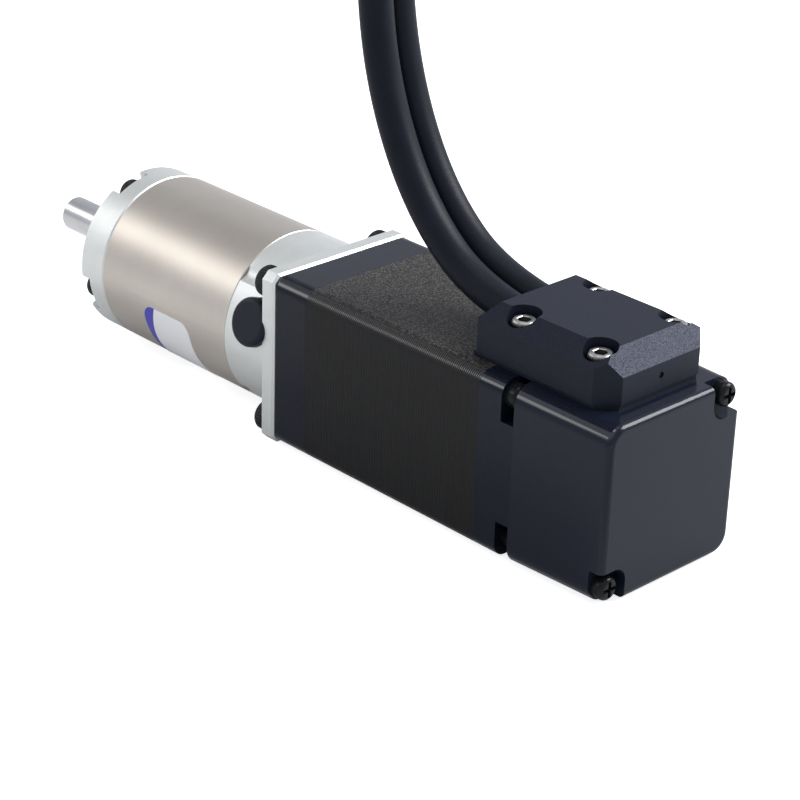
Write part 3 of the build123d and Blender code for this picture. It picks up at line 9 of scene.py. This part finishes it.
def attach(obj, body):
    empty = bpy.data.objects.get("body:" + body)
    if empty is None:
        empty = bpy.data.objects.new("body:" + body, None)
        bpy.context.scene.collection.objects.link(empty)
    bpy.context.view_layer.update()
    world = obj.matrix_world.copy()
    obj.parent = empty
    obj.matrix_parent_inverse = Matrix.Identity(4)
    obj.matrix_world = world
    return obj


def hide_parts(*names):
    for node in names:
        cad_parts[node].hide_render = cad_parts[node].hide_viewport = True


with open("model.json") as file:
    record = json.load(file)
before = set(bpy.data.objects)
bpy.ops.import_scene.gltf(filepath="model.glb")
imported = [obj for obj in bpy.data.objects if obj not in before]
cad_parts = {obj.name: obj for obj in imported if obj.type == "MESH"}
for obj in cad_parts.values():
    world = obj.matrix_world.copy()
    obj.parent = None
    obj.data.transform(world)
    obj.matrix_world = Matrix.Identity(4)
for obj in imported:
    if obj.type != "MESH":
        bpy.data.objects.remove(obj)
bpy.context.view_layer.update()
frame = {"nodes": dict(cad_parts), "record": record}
nodes = frame["nodes"]

MM = 0.001

# Camera, solved from the square outlines of the motor; lengths in metres, angles in degrees
CAMERA_PLACE = (-0.31287, 0.24286, 0.16103)
CAMERA_AZIMUTH = 225.776
CAMERA_ELEVATION = 25.609
CAMERA_ROLL = 1.848
CAMERA_LENS = 111.53

# Stations of the part that the finishes and the new pieces use, in millimetres. A corner is
# the sum of the distances from the axis, sideways and upwards, at which a rounded edge starts.
FLOOR_Z = -14.3
SLEEVE_R = 14.2
LABEL_FRONT_X = -17.0
LABEL_MIDDLE_DEG = -39.75
SCREW_PITCH_R = 11.6
SCREW_FIRST_DEG = 71.5
NOTCH_DEPTH = 2.5
LABEL_BAND_WIDTH = 0.9
SHEET_PITCH = 0.36
STACK_TOP_Z = 13.85
STACK_CORNER = 26.4
CAP_CORNER = 25.9
COVER_FRONT_X = -100.8
COVER_CORNER = 25.4
COVER_CORNER_TAPER = 0.0365
BOX_TOP_Z = 22.3
BOX_TOP_REAR_X = -112.5
BOX_REAR_SLOPE = 1.34
ADAPTOR_PLATE_X = -47.0
CORNER_OFFSET = 11.5
BOX_SEAT_Z = 19.2
BOX_RIM_Z = 21.05
BOX_SCREW_X = (-110.4, -95.9)
BOX_SCREW_Y = 7.75
CABLE_DIAMETER = 0.0052

# The cables' corner points, from the terminal block to the connector, in millimetres
MOTOR_CABLE_POINTS = [
    (-103.6, 2.95, 17.8),
    (-84.6, 2.95, 17.8),
    (-68.4, 3.0, 29.4),
    (-58.6, 3.1, 51.1),
    (-58.2, 3.2, 78.6),
    (-70.0, 3.2, 104.0),
    (-94.4, 3.3, 117.8),
    (-122.4, 3.4, 117.8),
    (-146.6, 3.7, 103.6),
    (-160.8, 4.2, 78.5),
    (-161.8, 4.9, 48.5),
    (-166.0, 5.6, 19.0),
    (-177.5, 6.2, 2.6),
    (-195.1, 6.8, -6.8),
    (-213.1, 7.0, -11.7),
    (-237.0, 8.4, -11.7),
    (-260.0, 8.4, -11.7),
]
ENCODER_CABLE_POINTS = [
    (-103.6, -2.9, 17.8),
    (-83.6, -2.9, 17.8),
    (-66.9, -2.8, 29.2),
    (-57.1, -2.6, 51.4),
    (-56.6, -2.3, 78.7),
    (-68.6, -2.2, 104.0),
    (-93.6, -2.2, 117.8),
    (-121.8, -2.3, 117.8),
    (-146.2, -2.7, 103.6),
    (-160.6, -3.4, 78.5),
    (-161.6, -4.2, 48.5),
    (-165.8, -5.2, 19.0),
    (-177.3, -6.0, 2.6),
    (-194.9, -6.6, -6.8),
    (-212.9, -7.0, -11.7),
    (-237.0, -8.4, -11.7),
    (-260.0, -8.4, -11.7),
]


class Socket:
    """One output of a shader node. Arithmetic on it adds the Math nodes."""

    def __init__(self, finish, output):
        self.finish = finish
        self.output = output

    def math(self, operation, first, second=0.0):
        return self.finish.node("ShaderNodeMath", {"operation": operation}, {0: first, 1: second})

    def __add__(self, other):
        return self.math("ADD", self, other)

    __radd__ = __add__

    def __sub__(self, other):
        return self.math("SUBTRACT", self, other)

    def __rsub__(self, other):
        return self.math("SUBTRACT", other, self)

    def __mul__(self, other):
        return self.math("MULTIPLY", self, other)

    __rmul__ = __mul__

    def __pow__(self, other):
        return self.math("POWER", self, other)

    def sine(self):
        return self.math("SINE", self)

    def size(self):
        return self.math("ABSOLUTE", self)

    def ramp(self, low, high):
        """0 below low, 1 above high, and a soft step between."""
        return self.finish.node(
            "ShaderNodeMapRange",
            {"interpolation_type": "SMOOTHSTEP"},
            {"Value": self, "From Min": low, "From Max": high},
        )


class Finish:
    """A material whose patterns read Object coordinates in millimetres."""

    def __init__(self, name, colour, roughness, metallic=0.0, **shader):
        self.material = bpy.data.materials.new(name)
        self.material.use_nodes = True
        self.tree = self.material.node_tree
        self.shader = self.tree.nodes["Principled BSDF"]
        self.put("Base Color", (*colour, 1.0))
        self.put("Roughness", roughness)
        self.put("Metallic", metallic)
        for socket, value in shader.items():
            self.put(socket.replace("_", " ").title().replace("Ior", "IOR"), value)
        metres = self.node("ShaderNodeTexCoord", output="Object")
        self.place = self.node(
            "ShaderNodeVectorMath", {"operation": "SCALE"}, {0: metres, "Scale": 1000.0}
        )
        self.x = self.node("ShaderNodeSeparateXYZ", {}, {0: self.place}, output=0)
        self.y = self.node("ShaderNodeSeparateXYZ", {}, {0: self.place}, output=1)
        self.z = self.node("ShaderNodeSeparateXYZ", {}, {0: self.place}, output=2)

    def put(self, name, value):
        """Sets or links one input of the surface shader."""
        if isinstance(value, Socket):
            self.tree.links.new(value.output, self.shader.inputs[name])
        else:
            self.shader.inputs[name].default_value = value

    def node(self, kind, settings=None, inputs=None, output=0):
        made = self.tree.nodes.new(kind)
        for key, value in (settings or {}).items():
            setattr(made, key, value)
        for key, value in (inputs or {}).items():
            if isinstance(value, Socket):
                self.tree.links.new(value.output, made.inputs[key])
            else:
                made.inputs[key].default_value = value
        return Socket(self, made.outputs[output])

    def noise(self, per_mm, detail=3.0, stretch=(1.0, 1.0, 1.0)):
        """Soft noise from 0 to 1, with so many blotches to the millimetre along each axis."""
        place = self.node(
            "ShaderNodeVectorMath", {"operation": "MULTIPLY"}, {0: self.place, 1: stretch}
        )
        return self.node(
            "ShaderNodeTexNoise", {}, {"Vector": place, "Scale": per_mm, "Detail": detail}
        )

    def mix(self, factor, first, second):
        """Blends two colours."""
        return self.node(
            "ShaderNodeMix", {"data_type": "RGBA"}, {0: factor, 6: first, 7: second}, output=2
        )

    def bump(self, height, distance_mm, strength=1.0):
        """Raises the surface by height times the distance."""
        normal = self.node(
            "ShaderNodeBump",
            {},
            {"Height": height, "Distance": distance_mm * MM, "Strength": strength},
        )
        self.put("Normal", normal)


def grey(level, warm=0.0):
    """A colour near grey, warmer or cooler by a small step."""
    return (level * (1 + warm), level, level * (1 - warm), 1.0)


def polished_steel():
    finish = Finish("polished_steel", (0.62, 0.62, 0.64), 0.2, metallic=1.0)
    turned = finish.noise(1.0, 4.0, (14.0, 0.4, 0.4))
    smear = finish.noise(0.25)
    finish.put("Base Color", finish.mix(smear, grey(0.48, -0.01), grey(0.66)))
    finish.put("Roughness", 0.14 + smear * 0.12 + turned * 0.06)
    finish.bump(turned, 0.004)
    return finish.material


def bearing_steel():
    finish = Finish("bearing_steel", (0.55, 0.56, 0.58), 0.25, metallic=1.0)
    turned = finish.noise(1.0, 3.0, (10.0, 0.8, 0.8))
    finish.put("Base Color", finish.mix(turned, grey(0.45, -0.02), grey(0.66)))
    finish.put("Roughness", 0.2 + turned * 0.15)
    finish.bump(turned, 0.003)
    return finish.material


def gear_steel():
    finish = Finish("gear_steel", (0.4, 0.4, 0.41), 0.35, metallic=1.0)
    grain = finish.noise(2.0)
    finish.put("Base Color", finish.mix(grain, grey(0.32), grey(0.5)))
    finish.put("Roughness", 0.28 + grain * 0.2)
    finish.bump(grain, 0.01)
    return finish.material


def spring_steel():
    finish = Finish("spring_steel", (0.16, 0.16, 0.165), 0.35, metallic=1.0)
    grain = finish.noise(3.0)
    finish.put("Base Color", finish.mix(grain, grey(0.1), grey(0.24)))
    finish.bump(grain, 0.008)
    return finish.material


def satin_nickel():
    """Warm plated steel, turned: faint rings round the axis and broad soft blotches."""
    finish = Finish("satin_nickel", (0.62, 0.56, 0.51), 0.3, metallic=1.0)
    rings = finish.noise(1.0, 4.0, (9.0, 0.12, 0.12))
    blotch = finish.noise(0.12, 2.0)
    fine = finish.noise(6.0, 2.0)
    tone = rings * 0.35 + blotch * 0.4 + fine * 0.25
    finish.put("Base Color", finish.mix(tone, (0.5, 0.448, 0.397, 1), (0.68, 0.632, 0.572, 1)))
    finish.put("Roughness", 0.32 + rings * 0.08 + fine * 0.06)
    finish.bump(rings * 0.6 + fine * 0.4, 0.006)
    return finish.material


def satin_aluminium():
    """Bead-blasted aluminium: fine grain and a few softer blotches."""
    finish = Finish("satin_aluminium", (0.8, 0.8, 0.82), 0.42, metallic=1.0)
    fine = finish.noise(5.5, 3.0)
    blotch = finish.noise(0.3, 2.0)
    tone = fine * 0.6 + blotch * 0.4
    finish.put("Base Color", finish.mix(tone, (0.66, 0.675, 0.655, 1), (0.87, 0.88, 0.86, 1)))
    finish.put("Roughness", 0.38 + fine * 0.14)
    finish.bump(fine, 0.05)
    return finish.material


def black_oxide():
    finish = Finish("black_oxide", (0.01, 0.01, 0.012), 0.28, specular_ior_level=0.15)
    fine = finish.noise(5.0, 2.0)
    finish.put("Base Color", finish.mix(fine, grey(0.005, -0.1), grey(0.014, -0.1)))
    finish.put("Roughness", 0.16 + fine * 0.1)
    finish.bump(fine, 0.01)
    return finish.material


def cap_paint():
    """Blue-black paint with a slight orange-peel skin, glossier on the rounded edges."""
    finish = Finish("cap_paint", (0.01, 0.012, 0.018), 0.25, specular_ior_level=0.2)
    peel = finish.noise(1.6, 2.0)
    dust = finish.noise(9.0, 2.0)
    finish.put("Base Color", finish.mix(dust, (0.003, 0.0045, 0.010, 1), (0.007, 0.010, 0.020, 1)))
    finish.put("Roughness", 0.14 + dust * 0.08)
    into_corner = finish.z.size() + finish.y.size() - CAP_CORNER
    finish.put("Coat Weight", into_corner.ramp(0.68, 0.88))
    finish.bump(peel * 0.7 + dust * 0.3, 0.02)
    return finish.material


def painted_laminations():
    """Thin steel sheets stacked along the shaft, painted black: a fine ridge at every sheet,
    sharper on the rounded corners where the paint is thin, faint streaks down the sides, and
    a speckled top whose paler colour is a painted sheen for the light falling on it."""
    finish = Finish("painted_laminations", (0.02, 0.019, 0.018), 0.42, specular_ior_level=0.2)
    sheets = (finish.x * (2 * math.pi / SHEET_PITCH)).sine() * 0.5 + 0.5
    streak = finish.noise(1.0, 3.0, (3.2, 0.05, 0.05))
    speck = finish.noise(3.6, 3.0)
    top = (finish.z - STACK_TOP_Z).ramp(-0.1, 0.1)
    into_corner = finish.z.size() + finish.y.size() - STACK_CORNER
    corner = into_corner.ramp(0.0, 0.5)
    side = finish.mix(streak, (0.004, 0.004, 0.0045, 1), (0.013, 0.0125, 0.0125, 1))
    # The speckled top gets a paler colour than the sides: a painted sheen for light falling on the top,
    # over a real speckled paint skin.
    roof_speck_and_sheen = finish.mix(speck.ramp(0.45, 0.62), (0.006, 0.006, 0.007, 1), (0.085, 0.077, 0.072, 1))
    worn = finish.mix(sheets.ramp(0.35, 0.85), (0.004, 0.004, 0.004, 1), (0.06, 0.058, 0.055, 1))
    finish.put("Base Color", finish.mix(corner, finish.mix(top, side, roof_speck_and_sheen), worn))
    finish.put("Roughness", 0.36 + streak * 0.12 + speck * 0.1 - corner * 0.24)
    finish.put("Metallic", corner * 0.4)
    finish.put("Coat Weight", into_corner.ramp(0.15, 0.4) * sheets.ramp(0.4, 0.8))
    ridges = sheets * (1 - top) * (0.14 + corner * 0.86)
    finish.bump(ridges + streak * 0.25 + speck * (0.15 + top * 0.75), 0.07)
    return finish.material


def copper_wire():
    finish = Finish("copper_wire", (0.6, 0.27, 0.12), 0.35, metallic=0.9)
    turns = (finish.x * (2 * math.pi / 0.35)).sine() * 0.5 + 0.5
    finish.put("Base Color", finish.mix(turns, (0.4, 0.16, 0.07, 1), (0.68, 0.33, 0.15, 1)))
    finish.bump(turns, 0.08)
    return finish.material


def dark_magnet():
    finish = Finish("dark_magnet", (0.06, 0.06, 0.063), 0.4, metallic=0.6)
    grain = finish.noise(4.0)
    finish.put("Base Color", finish.mix(grain, grey(0.04), grey(0.09)))
    finish.bump(grain, 0.01)
    return finish.material


def glossy_cover():
    """Glossy black moulding, very slightly wavy, with faint dust. It narrows to the rear, and
    its rounded edges shine more."""
    finish = Finish("glossy_cover", (0.012, 0.014, 0.024), 0.15, specular_ior_level=0.22)
    wave = finish.noise(0.12, 1.0)
    dust = finish.noise(10.0, 2.0)
    finish.put("Base Color", finish.mix(dust, (0.005, 0.007, 0.014, 1), (0.011, 0.0135, 0.026, 1)))
    finish.put("Roughness", 0.1 + wave * 0.05 + dust * 0.06)
    edge = COVER_CORNER + (finish.x - COVER_FRONT_X) * COVER_CORNER_TAPER
    into_corner = finish.z.size() + finish.y.size() - edge
    finish.put("Coat Weight", into_corner.ramp(0.92, 1.15))
    finish.bump(wave * 0.8 + dust * 0.2, 0.02)
    return finish.material


def grained_box():
    """Matt black moulding with a fine grain, coarser on its rear slope, where paler specks are a
    painted sheen for the light falling on the slope.
    """
    finish = Finish("grained_box", (0.02, 0.023, 0.036), 0.5, specular_ior_level=0.2)
    fine = finish.noise(7.0, 2.0)
    grain = finish.noise(5.0, 3.0)
    slope_z = BOX_TOP_Z + (finish.x - BOX_TOP_REAR_X) * BOX_REAR_SLOPE
    rear_slope_grain_and_sheen = 1 - (finish.z - slope_z).size().ramp(0.03, 0.08)
    skin = finish.mix(fine, (0.003, 0.0045, 0.011, 1), (0.011, 0.014, 0.027, 1))
    # The paler specks on the rear slope are painted light, a sheen where light falls on the slope; the
    # coarser grain there is real.
    speck = finish.mix(grain.ramp(0.35, 0.65), (0.016, 0.019, 0.033, 1), (0.07, 0.076, 0.112, 1))
    finish.put("Base Color", finish.mix(rear_slope_grain_and_sheen, skin, speck))
    finish.put("Roughness", 0.4 + fine * 0.12 + rear_slope_grain_and_sheen * 0.08)
    finish.bump(fine * 0.6 + grain * rear_slope_grain_and_sheen * 0.4, 0.08)
    return finish.material


def stainless():
    """Brushed stainless steel, with painted shade below the rim of the screws and in their sockets."""
    finish = Finish("stainless", (0.6, 0.6, 0.6), 0.3, metallic=1.0)
    smear = finish.noise(1.4)
    scratch = finish.noise(3.0, 3.0, (1.0, 5.0, 1.0))
    above_painted_shade = (finish.z - BOX_RIM_Z).ramp(-0.12, 0.02)
    worn = finish.mix(smear, grey(0.34, 0.02), grey(0.54, 0.01))
    # Below BOX_RIM_Z, round the sunk heads and in the sockets, the colour is a dark painted shade.
    finish.put("Base Color", finish.mix(above_painted_shade, grey(0.16, 0.08), worn))
    finish.put("Roughness", 0.24 + smear * 0.16 + scratch * 0.08)
    finish.bump(smear * 0.5 + scratch * 0.5, 0.012)
    return finish.material


def cable_jacket():
    """Matt black jacket: fine grain and long faint lines from the extrusion."""
    finish = Finish("cable_jacket", (0.008, 0.01, 0.016), 0.45, specular_ior_level=0.15)
    grain = finish.noise(3.5, 3.0)
    cloud = finish.noise(0.25, 2.0)
    finish.put("Base Color", finish.mix(cloud, (0.003, 0.0045, 0.009, 1), (0.007, 0.0095, 0.017, 1)))
    finish.put("Roughness", 0.38 + grain * 0.16)
    finish.bump(grain, 0.03)
    return finish.material


def soft_rubber():
    finish = Finish("soft_rubber", (0.008, 0.01, 0.016), 0.4, specular_ior_level=0.25)
    grain = finish.noise(5.0, 3.0)
    finish.put("Base Color", finish.mix(grain, (0.003, 0.0045, 0.01, 1), (0.008, 0.011, 0.021, 1)))
    finish.put("Roughness", 0.34 + grain * 0.16)
    finish.bump(grain, 0.02)
    return finish.material


def circuit_board():
    finish = Finish("circuit_board", (0.03, 0.16, 0.07), 0.4, coat_weight=0.3)
    tracks = ((finish.z * 3.1).sine() * (finish.y * 2.3).sine()).ramp(0.2, 0.3)
    finish.put("Base Color", finish.mix(tracks, (0.015, 0.11, 0.045, 1), (0.03, 0.2, 0.09, 1)))
    finish.bump(tracks, 0.02)
    return finish.material


def white_label():
    """Satin white sticker with a plain blue band that widens along its front edge."""
    finish = Finish("white_label", (0.85, 0.85, 0.85), 0.35, coat_weight=0.2)
    fibre = finish.noise(3.0)
    turn = finish.node("ShaderNodeMath", {"operation": "ARCTAN2"}, {0: finish.z, 1: finish.y})
    along = (turn - math.radians(LABEL_MIDDLE_DEG)) * SLEEVE_R
    edge = LABEL_FRONT_X - LABEL_BAND_WIDTH - (along + 4.0) ** 2 * 0.012
    band = (finish.x - edge).ramp(-0.04, 0.04)
    paper = finish.mix(fibre, grey(0.8), grey(0.9))
    finish.put("Base Color", finish.mix(band, paper, (0.03, 0.03, 0.42, 1)))
    finish.put("Roughness", 0.3 + fibre * 0.1)
    finish.bump(fibre, 0.006)
    return finish.material


def natural_nylon():
    finish = Finish("natural_nylon", (0.75, 0.73, 0.66), 0.4)
    cloud = finish.noise(0.6)
    finish.put("Base Color", finish.mix(cloud, (0.68, 0.66, 0.59, 1), (0.8, 0.78, 0.72, 1)))
    finish.put("Roughness", 0.33 + cloud * 0.15)
    finish.bump(cloud, 0.02)
    return finish.material


FINISHES = {
    "steel_shaft": polished_steel(),
    "bearing_steel": bearing_steel(),
    "gear_steel": gear_steel(),
    "spring_steel": spring_steel(),
    "satin_nickel": satin_nickel(),
    "satin_aluminium": satin_aluminium(),
    "black_screw": black_oxide(),
    "cap_paint": cap_paint(),
    "lamination_paint": painted_laminations(),
    "copper_wire": copper_wire(),
    "magnet": dark_magnet(),
    "cover_plastic": glossy_cover(),
    "box_plastic": grained_box(),
    "stainless": stainless(),
    "cable_jacket": cable_jacket(),
    "black_rubber": soft_rubber(),
    "board": circuit_board(),
    "label_paper": white_label(),
    "plug_plastic": natural_nylon(),
}


def wear(piece, slot):
    """Gives a piece one finish."""
    piece.data.materials.clear()
    piece.data.materials.append(FINISHES[slot])


for part in frame["record"]["subparts"]:
    wear(nodes[part["node"]], part["material_slot"])


def ring_faces(rows, columns):
    """Four-cornered faces between neighbouring rows of a closed tube of points."""
    row, column = np.meshgrid(np.arange(rows - 1), np.arange(columns), indexing="ij")
    after = (column + 1) % columns
    quads = np.stack(
        [
            row * columns + column,
            row * columns + after,
            (row + 1) * columns + after,
            (row + 1) * columns + column,
        ],
        axis=-1,
    )
    return quads.reshape(-1, 4)


def socket_screw(head_r, head, shank_r, shank, hex_af, hex_depth, knurls, columns=144):
    """A socket-head cap screw on the axis +Z with its seat at height 0. It is a tube of rows.
    The radius of a row is a base radius, less a knurl of |sin(knurls * turn / 2)| on the side
    of the head, and inside the socket it is half the width across flats over the cosine of
    the turn from the middle of the nearest flat."""
    turn = np.linspace(0, 2 * math.pi, columns, endpoint=False)
    knurl = 0.12 * np.abs(np.sin(knurls * turn / 2))
    flat = (turn + math.pi / 6) % (math.pi / 3) - math.pi / 6
    hexagon = hex_af / 2 / np.cos(flat)
    plain = np.ones(columns)
    profile = [
        (plain * 0.02, -shank),
        (plain * (shank_r - 0.25), -shank),
        (plain * shank_r, 0.25 - shank),
        (plain * shank_r, 0.0),
        (plain * (head_r - 0.12), 0.0),
        (head_r - knurl, 0.12),
        (head_r - knurl, head - 0.34),
        (plain * (head_r - 0.13), head - 0.26),
        (plain * (head_r - 0.2), head - 0.12),
        (plain * (head_r - 0.36), head),
        (hexagon + 0.1, head),
        (hexagon, head - 0.1),
        (hexagon, head - hex_depth),
        (plain * 0.02, head - hex_depth - 0.3),
    ]
    radius = np.array([row[0] for row in profile])
    height = np.array([row[1] for row in profile])[:, None] * plain
    points = np.stack([radius * np.cos(turn), radius * np.sin(turn), height], axis=-1)
    return points.reshape(-1, 3), ring_faces(len(profile), columns)


def closed_by(points, faces, columns):
    """The faces of the tube and, at its two ends, fans to the first corner of each end."""
    start = np.arange(columns)
    rows = len(points) // columns
    last = start + (rows - 1) * columns
    fan = np.arange(1, columns - 1)
    low = np.stack([np.full_like(fan, start[0]), start[fan + 1], start[fan]], axis=-1)
    high = np.stack([np.full_like(fan, last[0]), last[fan], last[fan + 1]], axis=-1)
    return faces.tolist() + low.tolist() + high.tolist()


def screw_set(name, seats, axes, slot, **sizes):
    """Copies of one screw: at each seat it stands along the three given axes (right, up and
    outwards), and the copies share one mesh."""
    columns = 144
    points, faces = socket_screw(columns=columns, **sizes)
    closed = closed_by(points, faces, columns)
    all_points = []
    all_faces = []
    for seat in seats:
        shift = len(all_points) * len(points)
        all_points.append(points @ np.array(axes, float) + np.array(seat, float))
        all_faces += [[corner + shift for corner in face] for face in closed]
    mesh = bpy.data.meshes.new(name)
    mesh.from_pydata((np.concatenate(all_points) * MM).tolist(), [], all_faces)
    mesh.validate()
    piece = bpy.data.objects.new(name, mesh)
    bpy.context.scene.collection.objects.link(piece)
    mesh.shade_smooth()
    mesh.set_sharp_from_angle(angle=math.radians(35))
    wear(piece, slot)
    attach(piece, "housing")
    return piece


ALONG_X = ((0, 1, 0), (0, 0, 1), (1, 0, 0))
ALONG_Z = ((1, 0, 0), (0, 1, 0), (0, 0, 1))
M25 = {"shank_r": 1.2, "hex_af": 2.0, "hex_depth": 1.2, "knurls": 36}

flange_turns = np.radians(SCREW_FIRST_DEG + 90 * np.arange(4))
flange_seats = [
    (-NOTCH_DEPTH, SCREW_PITCH_R * math.cos(turn), SCREW_PITCH_R * math.sin(turn))
    for turn in flange_turns
]
flange_caps = screw_set(
    "knurled_flange_screws",
    flange_seats,
    ALONG_X,
    "black_screw",
    head_r=2.25,
    head=2.4,
    shank=8.5,
    **M25,
)
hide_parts("flange_screws")

corner_seats = [
    (ADAPTOR_PLATE_X, CORNER_OFFSET * side, CORNER_OFFSET * level)
    for side in (1, -1)
    for level in (1, -1)
]
corner_caps = screw_set(
    "knurled_corner_screws",
    corner_seats,
    ALONG_X,
    "black_screw",
    head_r=2.5,
    head=2.5,
    shank=6.0,
    **M25,
)
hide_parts("adaptor_screws")

box_seats = [(x, side * BOX_SCREW_Y, BOX_SEAT_Z) for x in BOX_SCREW_X for side in (1, -1)]
box_caps = screw_set(
    "box_cap_screws",
    box_seats,
    ALONG_Z,
    "stainless",
    head_r=1.9,
    head=2.0,
    shank_r=0.95,
    shank=8.6,
    hex_af=1.85,
    hex_depth=1.0,
    knurls=30,
)
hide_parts("box_screws")


def laid_cable(name, points):
    """A round cable on one smooth spline through the pull of its corner points."""
    curve = bpy.data.curves.new(name, "CURVE")
    curve.dimensions = "3D"
    curve.bevel_depth = CABLE_DIAMETER / 2
    curve.bevel_resolution = 8
    curve.use_fill_caps = True
    spline = curve.splines.new("NURBS")
    spline.points.add(len(points) - 1)
    for corner, (x, y, z) in zip(spline.points, points):
        corner.co = (x * MM, y * MM, z * MM, 1.0)
    spline.order_u = 3
    spline.use_endpoint_u = True
    spline.resolution_u = 16
    piece = bpy.data.objects.new(name, curve)
    bpy.context.scene.collection.objects.link(piece)
    wear(piece, "cable_jacket")
    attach(piece, "housing")
    return piece


for name, points, node, plug in (
    ("laid_motor_cable", MOTOR_CABLE_POINTS, "motor_cable", "motor_plug"),
    ("laid_encoder_cable", ENCODER_CABLE_POINTS, "encoder_cable", "encoder_plug"),
):
    cable = laid_cable(name, points)
    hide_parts(node)


def camera_axes(azimuth, elevation, roll):
    """The camera's right, up and backward directions for a view from that side."""
    turn, tilt, lean = np.radians((azimuth, elevation, roll))
    back = np.array((math.sin(turn) * math.cos(tilt), -math.cos(turn) * math.cos(tilt), math.sin(tilt)))
    level = np.array((math.cos(turn), math.sin(turn), 0.0))
    upright = np.cross(back, level)
    right = level * math.cos(lean) + upright * math.sin(lean)
    return right, np.cross(back, right), back


camera_data = bpy.data.cameras.new("camera")
camera_data.lens = CAMERA_LENS
camera_data.sensor_width = 36.0
camera_data.clip_start = 0.01
camera = bpy.data.objects.new("camera", camera_data)
bpy.context.scene.collection.objects.link(camera)
axes = np.stack(camera_axes(CAMERA_AZIMUTH, CAMERA_ELEVATION, CAMERA_ROLL), axis=1)
pose = np.eye(4)
pose[:3, :3] = axes
pose[:3, 3] = CAMERA_PLACE
camera.matrix_world = Matrix(pose.tolist())
bpy.context.scene.camera = camera


def plane_piece(name, size, x, z):
    """A flat square on the level z with its centre at x, in metres."""
    half = size / 2
    mesh = bpy.data.meshes.new(name)
    corners = [(x - half, -half, z), (x + half, -half, z), (x + half, half, z), (x - half, half, z)]
    mesh.from_pydata(corners, [], [(0, 1, 2, 3)])
    piece = bpy.data.objects.new(name, mesh)
    bpy.context.scene.collection.objects.link(piece)
    return piece


floor = plane_piece("floor", 6.0, 0.0, FLOOR_Z * MM)
floor_finish = Finish("floor_white", (0.66, 0.66, 0.66), 0.9)
camera_ray = floor_finish.node("ShaderNodeLightPath", output="Is Camera Ray")
through_ray = floor_finish.node("ShaderNodeLightPath", output="Is Transmission Ray")
floor_seen = floor_finish.mix(camera_ray + through_ray, (0, 0, 0, 1), (0.8, 0.8, 0.8, 1))
floor_finish.put("Emission Color", floor_seen)
floor_finish.put("Emission Strength", 1.0)
floor.data.materials.append(floor_finish.material)

# A dark sheet over the front of the part, graded along x from near black to grey: it puts painted dark
# reflections into the rounded metal and glossy faces, standing in for shade in the surroundings.
card = plane_piece("dark_card", 0.43, 0.315, 0.45)
card_finish = Finish("card_grey", (0.42, 0.42, 0.42), 0.9)
dark_reflection_grade = card_finish.x.ramp(265.0, 320.0)
card_finish.put("Base Color", card_finish.mix(dark_reflection_grade, grey(0.04), grey(0.6)))
card.data.materials.append(card_finish.material)

world = bpy.data.worlds.new("studio")
world.use_nodes = True
bpy.context.scene.world = world
tree = world.node_tree
background = tree.nodes["Background"]
path = tree.nodes.new("ShaderNodeLightPath")
seen = tree.nodes.new("ShaderNodeMath")
seen.operation = "MAXIMUM"
tree.links.new(path.outputs["Is Camera Ray"], seen.inputs[0])
tree.links.new(path.outputs["Is Transmission Ray"], seen.inputs[1])
tint = tree.nodes.new("ShaderNodeMix")
tint.data_type = "RGBA"
tint.inputs[6].default_value = (0.64, 0.67, 0.72, 1)
tint.inputs[7].default_value = (1.0, 1.0, 1.0, 1)
tree.links.new(seen.outputs[0], tint.inputs[0])
tree.links.new(tint.outputs[2], background.inputs["Color"])


def soft_lamp(name, place, aim, width, height, watts, colour=(1, 1, 1)):
    """A rectangular soft box that looks from its place to the aim point."""
    data = bpy.data.lights.new(name, "AREA")
    data.shape = "RECTANGLE"
    data.size = width
    data.size_y = height
    data.energy = watts
    data.color = colour
    lamp = bpy.data.objects.new(name, data)
    bpy.context.scene.collection.objects.link(lamp)
    back = np.array(place, float) - np.array(aim, float)
    back /= np.linalg.norm(back)
    side = np.cross((0, 0, 1), back)
    side /= np.linalg.norm(side)
    pose = np.eye(4)
    pose[:3, 0] = side
    pose[:3, 1] = np.cross(back, side)
    pose[:3, 2] = back
    pose[:3, 3] = place
    lamp.matrix_world = Matrix(pose.tolist())
    return lamp


AIM = (-0.05, 0.0, 0.0)
soft_lamp("front_near_box", (0.53, 0.42, 0.37), AIM, 0.6, 0.2, 0.88, (1.0, 0.98, 0.95))
soft_lamp("rear_far_box", (-0.42, -0.58, 0.57), AIM, 0.5, 0.45, 10.5)
soft_lamp("top_box", (0.0, 0.0, 0.9), AIM, 0.5, 0.5, 2.0)

scene = bpy.context.scene
scene.view_settings.view_transform = "Standard"
